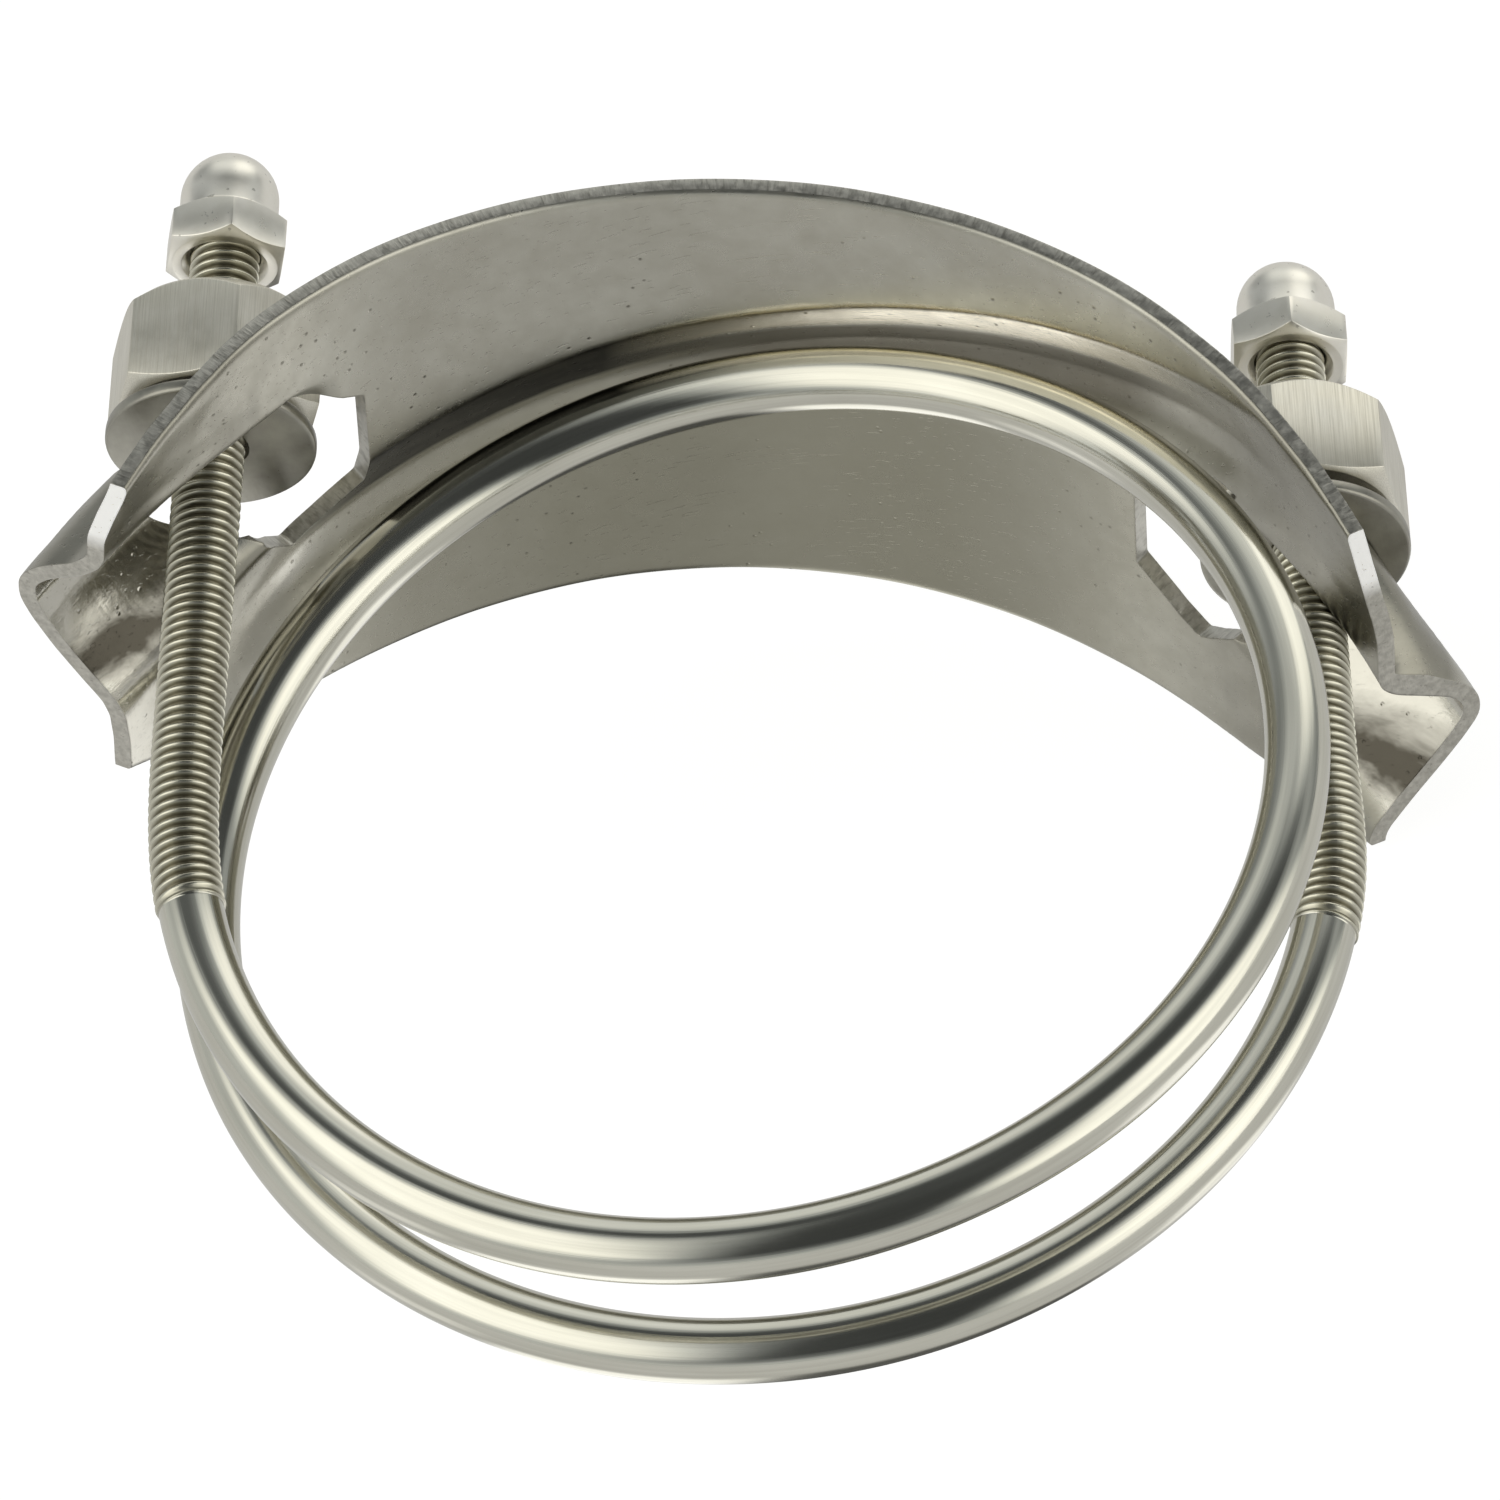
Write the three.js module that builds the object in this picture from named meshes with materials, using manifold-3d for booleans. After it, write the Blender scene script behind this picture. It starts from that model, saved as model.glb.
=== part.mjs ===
// Spiral double-bolt hose clamp: a wound rod with two threaded studs, a formed saddle across
// them, and a washer, hex nut and acorn nut on each stud.
// Millimetres. Z runs along the hose axis, Y from the hose towards the saddle, X to the right.
// Everything is built about the hose axis, then moved to put the envelope's centre at the origin.
// "left" is the -X side and "right" the +X side; "near" is the +Z edge and "far" the -Z edge.
import * as THREE from "three";
import Module from "manifold-3d";

const wasm = await Module();
wasm.setup();
const { Manifold, Mesh } = wasm;
const { clamp, degToRad } = THREE.MathUtils;

const SIDES = ["left", "right"];
const ENVELOPE_CENTRE = [-1.18, 11.1958, -2.4082];

const STEEL = {
  rod: { color: 0xc9c7c0, roughness: 0.22 },
  saddle: { color: 0xb9b7ae, roughness: 0.42 },
  nut: { color: 0xbfbdb4, roughness: 0.45 },
  acorn: { color: 0xc4c2ba, roughness: 0.38 },
  washer: { color: 0xbab9b2, roughness: 0.4 },
};

// ---- shared helpers ----
const mix = (from, to, t) => from + (to - from) * t;
// smooth step from 0 to 1 that begins at start and takes width
function ramp(value, start, width) {
  const t = clamp((value - start) / width, 0, 1);
  return t * t * (3 - 2 * t);
}

// closed solid, with its triangles turned to face outward
function solid(points, triangles) {
  let volume = 0;
  for (let i = 0; i < triangles.length; i += 3) {
    const [a, b, c] = triangles.slice(i, i + 3).map((k) => points[k]);
    volume += a.dot(new THREE.Vector3().crossVectors(b, c));
  }
  if (volume < 0) {
    for (let i = 0; i < triangles.length; i += 3) {
      [triangles[i + 1], triangles[i + 2]] = [triangles[i + 2], triangles[i + 1]];
    }
  }
  return new Manifold(new Mesh({
    numProp: 3,
    vertProperties: new Float32Array(points.flatMap((p) => p.toArray())),
    triVerts: new Uint32Array(triangles),
  }));
}

// solid between two matching rings; capFaces are triangles of ring indices
function prism(lowRing, highRing, capFaces) {
  const points = lowRing.flatMap((low, i) => [low, highRing[i]]);
  const triangles = [];
  for (const [a, b, c] of capFaces) {
    triangles.push(2 * a, 2 * b, 2 * c, 2 * c + 1, 2 * b + 1, 2 * a + 1);
  }
  for (let i = 0; i < lowRing.length; i++) {
    const j = (i + 1) % lowRing.length;
    triangles.push(2 * i, 2 * i + 1, 2 * j + 1, 2 * i, 2 * j + 1, 2 * j);
  }
  return solid(points, triangles);
}

function meshOf(name, body, steel) {
  const { vertProperties, triVerts } = body.getMesh();
  const geometry = new THREE.BufferGeometry();
  const position = new THREE.BufferAttribute(new Float32Array(vertProperties), 3);
  geometry.setAttribute("position", position);
  geometry.setIndex(Array.from(triVerts));
  geometry.computeVertexNormals();
  geometry.translate(...ENVELOPE_CENTRE.map((c) => -c));
  const material = new THREE.MeshStandardMaterial({ ...STEEL[steel], metalness: 1.0 });
  const mesh = new THREE.Mesh(geometry, material);
  mesh.name = name;
  return mesh;
}

// ---- rod: one bar wound one and a half turns, both ends threaded ----
const ROD_R = 3.68;
const THREAD_R = 3.98; // thread crest, M8
const ROD_SIDES = 14;
const WIND_STEPS = 56; // along the plain part
const JOIN_STEPS = 5; // along each bend from winding to stud
const TURN = { left: 180, right: 720 }; // winding angle at each stud, degrees
const INWARD = { left: 1, right: -1 }; // sense of the angle going away from each stud
// winding radius and z, evenly spaced from the left stud to the right one
const WIND_R = [61.73, 62.92, 62.53, 62.58, 62.65, 62.79, 63.15, 63.46, 62.81, 62.96, 63.02];
const WIND_Z = [15.14, 11.68, 9.38, 6.18, 3.01, -0.01, -2.96, -6.0, -8.95, -12.2, -15.28];
const WIND_PITCH = (TURN.right - TURN.left) / (WIND_R.length - 1);
const JOIN_DEG = 6; // where the winding leaves for the stud
const THREAD_END_DEG = 11; // where the thread ends
const THREAD_STEP_DEG = 0.3; // half length of the step from crest to plain bar
const TIP = { length: 0.9, inset: 0.7 }; // bevel on the stud's end

// stud axes: x and z at height STUD_FOOT_Y, their change per mm of height, and the tip's height
const STUD_FOOT_Y = 15;
const STUD = {
  left: { x: -61.07, z: 15.9, dx: 0.067, dz: 0.051, tip: 82.6 },
  right: { x: 61.97, z: -16.85, dx: -0.0491, dz: -0.051, tip: 79.4 },
};

function studPoint(side, y) {
  const { x, z, dx, dz } = STUD[side];
  const rise = y - STUD_FOOT_Y;
  return new THREE.Vector3(x + dx * rise, y, z + dz * rise);
}
function studAxis(side) {
  return new THREE.Vector3(STUD[side].dx, 1, STUD[side].dz).normalize();
}

// natural cubic spline through values at 0, 1, 2, ...
function spline(values) {
  const count = values.length;
  const curve = new Array(count).fill(0); // second derivatives
  const upper = new Array(count).fill(0);
  const rest = new Array(count).fill(0);
  for (let i = 1; i < count - 1; i++) {
    const bend = 6 * (values[i + 1] - 2 * values[i] + values[i - 1]);
    const pivot = 4 - upper[i - 1];
    upper[i] = 1 / pivot;
    rest[i] = (bend - rest[i - 1]) / pivot;
  }
  for (let i = count - 2; i > 0; i--) curve[i] = rest[i] - upper[i] * curve[i + 1];
  return (at) => {
    const i = clamp(Math.floor(at), 0, count - 2);
    const t = at - i;
    const s = 1 - t;
    const bow = (s * s * s - s) * curve[i] + (t * t * t - t) * curve[i + 1];
    return s * values[i] + t * values[i + 1] + bow / 6;
  };
}
const windRadius = spline(WIND_R);
const windZ = spline(WIND_Z);
function windPoint(deg) {
  const at = (deg - TURN.left) / WIND_PITCH;
  const angle = degToRad(deg);
  const radius = windRadius(at);
  return new THREE.Vector3(radius * Math.cos(angle), radius * Math.sin(angle), windZ(at));
}

// Hermite curve from the foot of the stud to the winding, without its end points
function joinPoints(side, deg) {
  const half = 0.5 * INWARD[side];
  const start = windPoint(deg);
  const foot = studPoint(side, STUD_FOOT_Y);
  const startDir = windPoint(deg - half).sub(windPoint(deg + half)).normalize();
  const footDir = studAxis(side);
  const reach = start.distanceTo(foot);
  const points = [];
  for (let i = JOIN_STEPS - 1; i > 0; i--) {
    const t = i / JOIN_STEPS;
    points.push(start.clone().multiplyScalar(2 * t ** 3 - 3 * t ** 2 + 1)
      .addScaledVector(startDir, (t ** 3 - 2 * t ** 2 + t) * reach)
      .addScaledVector(foot, -2 * t ** 3 + 3 * t ** 2)
      .addScaledVector(footDir, (t ** 3 - t ** 2) * reach));
  }
  return points;
}

// stations from the tip of a stud to the start of the plain bar
function threadedEnd(side) {
  const { tip } = STUD[side];
  const inward = INWARD[side];
  const joinDeg = TURN[side] + JOIN_DEG * inward;
  const endDeg = TURN[side] + THREAD_END_DEG * inward;
  const threaded = [
    ...[tip - TIP.length, 60, 40, 28, STUD_FOOT_Y].map((y) => studPoint(side, y)),
    ...joinPoints(side, joinDeg),
    windPoint(joinDeg),
    windPoint(endDeg - THREAD_STEP_DEG * inward),
  ];
  return [
    { point: studPoint(side, tip), radius: THREAD_R - TIP.inset },
    ...threaded.map((point) => ({ point, radius: THREAD_R })),
    { point: windPoint(endDeg + THREAD_STEP_DEG * inward), radius: ROD_R },
  ];
}
function rodStations() {
  const from = TURN.left + THREAD_END_DEG;
  const to = TURN.right - THREAD_END_DEG;
  const plain = [];
  for (let i = 1; i < WIND_STEPS; i++) {
    plain.push({ point: windPoint(from + ((to - from) * i) / WIND_STEPS), radius: ROD_R });
  }
  return [...threadedEnd("left"), ...plain, ...threadedEnd("right").reverse()];
}

// round bar through stations, its rings carried along without twist
function tube(stations, sides) {
  const last = stations.length - 1;
  const spoke = new THREE.Vector3(0, 0, 1);
  const points = [];
  const triangles = [];
  stations.forEach(({ point, radius }, i) => {
    const next = stations[Math.min(last, i + 1)].point;
    const tangent = next.clone().sub(stations[Math.max(0, i - 1)].point).normalize();
    spoke.addScaledVector(tangent, -spoke.dot(tangent)).normalize();
    const cross = new THREE.Vector3().crossVectors(tangent, spoke);
    for (let k = 0; k < sides; k++) {
      const angle = (2 * Math.PI * k) / sides;
      points.push(point.clone().addScaledVector(spoke, radius * Math.cos(angle))
        .addScaledVector(cross, radius * Math.sin(angle)));
    }
  });
  const startCentre = points.length;
  points.push(stations[0].point, stations[last].point);
  for (let i = 0; i < last; i++) {
    for (let k = 0; k < sides; k++) {
      const a = i * sides + k;
      const b = i * sides + ((k + 1) % sides);
      triangles.push(a, b, b + sides, a, b + sides, a + sides);
    }
  }
  for (let k = 0; k < sides; k++) {
    const k1 = (k + 1) % sides;
    triangles.push(startCentre, k1, k);
    triangles.push(startCentre + 1, last * sides + k, last * sides + k1);
  }
  return solid(points, triangles);
}

// ---- washers and nuts: built about +Y from y = 0, then set on a stud ----
// y is each piece's height on its stud, turn its angle about the stud in degrees
const SEGMENTS = 32;
const BORE_R = 4.3;
const CORNER_CLEAR = 0.3; // how far turned bevels reach past a hexagon's corners
const WASHER = { outerR: 12.0, thick: 1.5, bevel: 0.15, y: { left: 49.7, right: 42.9 } };
const NUT = {
  flats: 22.1, height: 13.3, faceRatio: 0.95, topR: 10.65,
  countersink: 0.65, mouth: 1.35, // widening of the bore at the face, and 1 mm outside it
  y: { left: 52.45, right: 46.9 }, turn: { left: 6.5, right: 34.0 },
};
const ACORN = {
  flats: 13.0, hexHeight: 5.6, faceRatio: 0.93, topInset: 0.4, topRise: 0.25, hexRise: 0.2,
  domeR: 5.65, domeFoot: 0.4, domeSteps: 7, height: 14.35,
  mouthR: 4.95, mouthExtra: 0.2, depth: 10.8, drillTip: 1.6,
  y: { left: 74.35, right: 70.75 }, turn: { left: 12, right: 19 },
};

// body of revolution; profile is a closed ring of [radius, y], which may lie on the axis
function turned(profile) {
  const points = [];
  const triangles = [];
  const rings = profile.map(([radius, y]) => {
    const ring = [];
    const count = radius < 1e-9 ? 1 : SEGMENTS;
    for (let k = 0; k < count; k++) {
      const angle = (2 * Math.PI * k) / SEGMENTS;
      ring.push(points.length);
      points.push(new THREE.Vector3(radius * Math.cos(angle), y, radius * Math.sin(angle)));
    }
    return ring;
  });
  rings.forEach((a, i) => {
    const b = rings[(i + 1) % rings.length];
    if (a.length === 1 && b.length === 1) return;
    for (let k = 0; k < SEGMENTS; k++) {
      const k1 = (k + 1) % SEGMENTS;
      if (a.length === 1) triangles.push(a[0], b[k], b[k1]);
      else if (b.length === 1) triangles.push(a[k], b[0], a[k1]);
      else triangles.push(a[k], b[k], b[k1], a[k], b[k1], a[k1]);
    }
  });
  return solid(points, triangles);
}
function hexPrism(flats, height, turn) {
  const cornerR = flats / Math.sqrt(3);
  const ring = (y) => [0, 1, 2, 3, 4, 5].map((k) => {
    const angle = degToRad(60 * k + turn);
    return new THREE.Vector3(cornerR * Math.cos(angle), y, cornerR * Math.sin(angle));
  });
  return prism(ring(0), ring(height), [1, 2, 3, 4].map((k) => [0, k, k + 1]));
}
// 30 degree bevel of a hexagon's corners: face radius, outermost radius and the rise between
function hexBevel({ flats, faceRatio }) {
  const faceR = (flats / 2) * faceRatio;
  const rimR = flats / Math.sqrt(3) + CORNER_CLEAR;
  return { faceR, rimR, rise: (rimR - faceR) * Math.tan(Math.PI / 6) };
}

function washer() {
  const { outerR, thick, bevel } = WASHER;
  return turned([
    [BORE_R, 0], [outerR - bevel, 0], [outerR, bevel],
    [outerR, thick - bevel], [outerR - bevel, thick], [BORE_R, thick],
  ]);
}
function hexNut(turn) {
  const { flats, height, topR, countersink, mouth } = NUT;
  const { faceR, rimR, rise } = hexBevel(NUT);
  const envelope = turned([
    [0, 0], [faceR, 0], [rimR, rise], [rimR, height - (rimR - topR)], [topR, height], [0, height],
  ]);
  const bore = turned([
    [0, -1], [BORE_R + mouth, -1], [BORE_R + countersink, 0], [BORE_R, countersink],
    [BORE_R, height - countersink], [BORE_R + countersink, height],
    [BORE_R + mouth, height + 1], [0, height + 1],
  ]);
  return hexPrism(flats, height, turn).intersect(envelope).subtract(bore);
}
function acornNut(turn) {
  const { flats, hexHeight, topInset, topRise, hexRise, domeR, domeFoot, domeSteps } = ACORN;
  const { height, mouthR, mouthExtra, depth, drillTip } = ACORN;
  const { faceR, rimR, rise } = hexBevel(ACORN);
  const domeY = height - domeR;
  const dome = [[0, domeFoot], [domeR, domeFoot], [domeR, domeY]];
  for (let i = 1; i < domeSteps; i++) {
    const angle = (Math.PI / 2) * (i / domeSteps);
    dome.push([domeR * Math.cos(angle), domeY + domeR * Math.sin(angle)]);
  }
  dome.push([0, height]);
  const envelope = turned([
    [0, 0], [faceR, 0], [rimR, rise], [rimR, hexHeight - rise],
    [faceR - topInset, hexHeight + topRise], [0, hexHeight + topRise],
  ]);
  const hole = turned([
    [0, -1], [mouthR + 1, -1], [mouthR, 0], [BORE_R, mouthR - BORE_R + mouthExtra],
    [BORE_R, depth], [0, depth + drillTip],
  ]);
  const hexagon = hexPrism(flats, hexHeight + hexRise, turn).intersect(envelope);
  return hexagon.add(turned(dome)).subtract(hole);
}
function onStud(body, side, y) {
  const axis = studAxis(side);
  const right = new THREE.Vector3(1, 0, 0).addScaledVector(axis, -axis.x).normalize();
  const near = new THREE.Vector3().crossVectors(right, axis);
  const place = new THREE.Matrix4().makeBasis(right, axis, near).setPosition(studPoint(side, y));
  return body.transform(place.toArray());
}

// ---- saddle: pressed strip bent about its own z; angles from +Y towards +X, in radians ----
const SHEET = 2.1;
const BEND_R = 73.63; // inner face
const FLARE = { from: 0.75, amount: 14.0 }; // the ends open out beyond this angle
const EDGE = [33.12, -6.18, 2.08, -1.04, -5.46]; // near edge's z, a polynomial in the angle
const END_LONG = 1.144; // corner angle: near on the left, far on the right
const END_SHORT = 1.118; // the other corner of each end
const SADDLE_STEPS = 48; // along the strip
const POSE = { turn: [-0.061, 0.155, 0.01], at: [-0.08, -7.15, 0] }; // rotation vector, shift

// slanting groove in the inner face; slope in mm per degree
const GROOVE = { z: 2.3, slope: 0.216, halfWidth: 7.8, depth: 3.0 };
const GROOVE_FADE = { start: 0.72, width: 0.3, humpHeight: 4 };

// cross-sections of the stud channels: [z, outward], near edge to far edge,
// at the window and at the end of the strip
const HUMP = {
  left: {
    window: [
      [37, 0], [35.5, 0], [26, 0], [23, 0.2], [21.5, 1.5], [20, 4.5], [17.5, 9], [15, 10.6],
      [9.5, 11], [6.2, 9.8], [5.2, 7], [4.2, 4.2], [2.8, 1.8], [1, 0.4], [-6, 0], [-25, 0],
    ],
    end: [
      [37, -1.4], [35.5, -1.2], [23.6, 2.8], [20.4, 3.1], [18.4, 4], [16, 6.4], [13.4, 10.7],
      [11.2, 12.6], [8.7, 12.8], [6, 11.9], [1.6, 9.4], [-2.4, 6.7], [-6, 4.1], [-9, 3.1],
      [-12.3, 3.1], [-19.2, 3.4],
    ],
  },
  right: {
    window: [
      [25, 0], [20, 0], [10, 0], [3.6, 0.2], [2.4, 1.2], [1.2, 5], [0, 9], [-1, 10.6],
      [-4.5, 11], [-9, 11], [-12, 9.6], [-14, 7], [-15.6, 4.2], [-17.4, 1.8], [-19.5, 0.4],
      [-37, 0],
    ],
    end: [
      [25, -1.2], [20, -0.8], [-1.2, 2.6], [-8, 2.5], [-9.7, 3], [-11.3, 4.4], [-13.5, 8.2],
      [-15.5, 11.6], [-17.2, 12.9], [-19, 13.1], [-21, 11.7], [-24.8, 8.1], [-28.6, 4.5],
      [-32.4, 1.1], [-34, 0.4], [-37, 0],
    ],
  },
};
const HUMP_AT = { window: 0.815, end: 1.13 }; // angles of the two sections
const HUMP_RISE = { start: 0.66, width: 0.14 };
const NEAR_FLANK = 7; // leading section points that make the near flank
const NEAR_LAG = { left: 1, right: 2.4 }; // how late the near flank swings over
const CREASES = 13; // section points that mesh lines follow, after the first two
const CREASE_BLEND = { start: 0.3, width: 0.34 };

// windows through the strip: [degrees, z]
const WINDOW = {
  left: [[-35.5, 16.1], [-35.5, 0.0], [-43.3, -4.2], [-47.2, 1.0], [-47.2, 22.4], [-43.3, 23.5]],
  right: [
    [36.5, -16.6], [43.3, -23.6], [47.5, -20.0], [47.5, 6.3],
    [45.5, 6.2], [43.3, 5.0], [40.5, 2.6], [36.5, -3.4],
  ],
};
// block that squares off the channels: z range, start and span of angle
const CHANNEL = { z: { left: [1.0, 22.4], right: [-20.0, 6.2] }, from: 0.79, span: 0.3, steps: 8 };
const CUT_INSIDE = { window: 6, channel: 4 }; // how far the cutters reach either side of BEND_R
const CUT_OUTSIDE = 24;
const SEAT = { left: 43.2, right: 42.5 }; // height of each channel's cut rim on its stud

const bent = (radius, angle, z) =>
  new THREE.Vector3(radius * Math.sin(angle), radius * Math.cos(angle), z);
const sideOf = (angle) => (angle < 0 ? "left" : "right");
const edgeZ = (angle) => EDGE.reduce((sum, factor, power) => sum + factor * angle ** power, 0);

// channel section at an unsigned angle
function section(side, angle) {
  const { window, end } = HUMP[side];
  const t = clamp((angle - HUMP_AT.window) / (HUMP_AT.end - HUMP_AT.window), 0, 1);
  return window.map(([z, out], k) => {
    const swing = k < NEAR_FLANK ? t ** NEAR_LAG[side] : t;
    return [mix(z, end[k][0], swing), mix(out, end[k][1], swing)];
  });
}
function humpHeight(angle, z) {
  const size = Math.abs(angle);
  if (size < HUMP_RISE.start) return 0;
  const points = section(sideOf(angle), size);
  let k = 0;
  while (k < points.length - 2 && z < points[k + 1][0]) k++;
  const [[z0, out0], [z1, out1]] = points.slice(k, k + 2);
  return mix(out0, out1, (z0 - z) / (z0 - z1)) * ramp(size, HUMP_RISE.start, HUMP_RISE.width);
}
function grooveHeight(angle, z) {
  const middle = GROOVE.z + (GROOVE.slope * angle * 180) / Math.PI;
  const offset = Math.abs(z - middle) / GROOVE.halfWidth;
  return offset >= 1 ? 0 : GROOVE.depth * (0.5 + 0.5 * Math.cos(Math.PI * offset));
}
function innerPoint(angle, z) {
  const size = Math.abs(angle);
  const hump = humpHeight(angle, z);
  const groove = grooveHeight(angle, z) * clamp(1 - hump / GROOVE_FADE.humpHeight, 0, 1)
    * (1 - ramp(size, GROOVE_FADE.start, GROOVE_FADE.width));
  const flare = FLARE.amount * Math.max(0, size - FLARE.from) ** 2;
  return bent(BEND_R + flare + hump + groove, angle, z);
}
function outwardNormal(angle, z) {
  const da = 1e-3;
  const dz = 0.05;
  const along = innerPoint(angle + da, z).sub(innerPoint(angle - da, z));
  const across = innerPoint(angle, z + dz).sub(innerPoint(angle, z - dz));
  return new THREE.Vector3().crossVectors(across, along).normalize();
}

// z of the mesh lines, far to near: even mid-strip, on the channel creases towards the ends
function lineZs(angle, nearZ, farZ) {
  const size = Math.abs(angle);
  const creases = section(sideOf(angle), size).slice(2, 2 + CREASES).map(([z]) => z)
    .filter((z) => z < nearZ - 0.5 && z > farZ + 0.5);
  while (creases.length < CREASES) creases.push((creases.at(-1) + farZ) / 2);
  const lines = [nearZ];
  for (let i = 1; i < 5; i++) lines.push(nearZ + ((creases[0] - nearZ) * i) / 5);
  lines.push(...creases);
  for (let i = 1; i < 3; i++) lines.push(creases.at(-1) + ((farZ - creases.at(-1)) * i) / 3);
  lines.push(farZ);
  const blend = ramp(size, CREASE_BLEND.start, CREASE_BLEND.width);
  const even = (k) => nearZ + ((farZ - nearZ) * k) / (lines.length - 1);
  return lines.map((z, k) => (1 - blend) * even(k) + blend * z).reverse();
}

function saddleSheet() {
  const inner = [];
  const outer = [];
  for (let i = 0; i <= SADDLE_STEPS; i++) {
    const u = -1 + (2 * i) / SADDLE_STEPS;
    const middle = (u * (END_LONG + END_SHORT)) / 2;
    const nearZ = edgeZ(middle);
    const farZ = -edgeZ(-middle);
    for (const z of lineZs(middle, nearZ, farZ)) {
      const near = (z - farZ) / (nearZ - farZ);
      const end = u < 0 ? mix(END_SHORT, END_LONG, near) : mix(END_LONG, END_SHORT, near);
      const point = innerPoint(u * end, z);
      inner.push(point);
      outer.push(point.clone().addScaledVector(outwardNormal(u * end, z), SHEET));
    }
  }
  const row = inner.length / (SADDLE_STEPS + 1);
  const I = SADDLE_STEPS;
  const J = row - 1;
  const triangles = [];
  const quad = (a, b, c, d) => triangles.push(a, b, c, a, c, d);
  const at = (i, j, layer) => layer * inner.length + i * row + j; // layer 0 inner, 1 outer
  for (let i = 0; i < I; i++) {
    for (let j = 0; j < J; j++) {
      quad(at(i, j, 0), at(i + 1, j, 0), at(i + 1, j + 1, 0), at(i, j + 1, 0));
      quad(at(i, j, 1), at(i, j + 1, 1), at(i + 1, j + 1, 1), at(i + 1, j, 1));
    }
    quad(at(i, 0, 0), at(i, 0, 1), at(i + 1, 0, 1), at(i + 1, 0, 0));
    quad(at(i, J, 0), at(i + 1, J, 0), at(i + 1, J, 1), at(i, J, 1));
  }
  for (let j = 0; j < J; j++) {
    quad(at(0, j, 0), at(0, j + 1, 0), at(0, j + 1, 1), at(0, j, 1));
    quad(at(I, j, 0), at(I, j, 1), at(I, j + 1, 1), at(I, j + 1, 0));
  }
  return solid([...inner, ...outer], triangles);
}

function windowCutter(side) {
  const { area, triangulateShape } = THREE.ShapeUtils;
  const outline = WINDOW[side].map(([deg, z]) => new THREE.Vector2(deg, z));
  // cap triangles must run the same way round as the outline
  const faces = triangulateShape(outline, []).map((face) =>
    area(face.map((k) => outline[k])) * area(outline) > 0 ? face : [face[0], face[2], face[1]]);
  const ring = (radius) => WINDOW[side].map(([deg, z]) => bent(radius, degToRad(deg), z));
  return prism(ring(BEND_R - CUT_INSIDE.window), ring(BEND_R + CUT_OUTSIDE), faces);
}
function channelBlock(side) {
  const { from, span, steps } = CHANNEL;
  const corners = [];
  const faces = [];
  for (let i = 0; i <= steps; i++) {
    corners.push([BEND_R - CUT_INSIDE.channel, from + (span * i) / steps]);
  }
  for (let i = steps; i >= 0; i--) corners.push([BEND_R + CUT_OUTSIDE, from + (span * i) / steps]);
  for (let i = 0; i < steps; i++) {
    const across = corners.length - 1 - i;
    faces.push([i, i + 1, across - 1], [i, across - 1, across]);
  }
  const [lowRing, highRing] = CHANNEL.z[side].map((z) =>
    corners.map(([radius, angle]) => bent(radius, -INWARD[side] * angle, z)));
  return prism(lowRing, highRing, faces);
}
function saddle() {
  const turn = new THREE.Vector3(...POSE.turn);
  const pose = new THREE.Matrix4().makeRotationAxis(turn.clone().normalize(), turn.length())
    .setPosition(...POSE.at).toArray();
  let body = saddleSheet();
  for (const side of SIDES) body = body.subtract(windowCutter(side));
  body = body.transform(pose);
  for (const side of SIDES) {
    // square off the open end of the stud channel under the washer
    const axis = studAxis(side);
    const seat = axis.dot(studPoint(side, SEAT[side]));
    body = body.subtract(channelBlock(side).transform(pose).trimByPlane(axis.toArray(), seat));
  }
  // drop the offcuts
  return body.decompose().sort((a, b) => b.volume() - a.volume())[0];
}

// ---- assembly ----
const root = new THREE.Group();
root.name = "spiral_hose_clamp";
root.add(meshOf("clamp_rod", tube(rodStations(), ROD_SIDES), "rod"));
root.add(meshOf("saddle", saddle(), "saddle"));
for (const side of SIDES) {
  const add = (name, body, sizes, steel) =>
    root.add(meshOf(`${name}_${side}`, onStud(body, side, sizes.y[side]), steel));
  add("washer", washer(), WASHER, "washer");
  add("hex_nut", hexNut(NUT.turn[side]), NUT, "nut");
  add("acorn_nut", acornNut(ACORN.turn[side]), ACORN, "acorn");
}

export default root;
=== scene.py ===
"""A hose clamp: a threaded rod wound round the hose, closed by a pressed saddle.

Hose-axis coordinates, in mm: z is the hose's axis and points up, the rod winds about it, and
both threaded studs run along +y through the saddle. Left is -x. Near is +z, the camera's side,
and far is -z. The row frame has the same axes, in metres, with its origin moved.
"""
import math

import bmesh
import bpy
import numpy as np
from mathutils import Matrix, Vector


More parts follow.
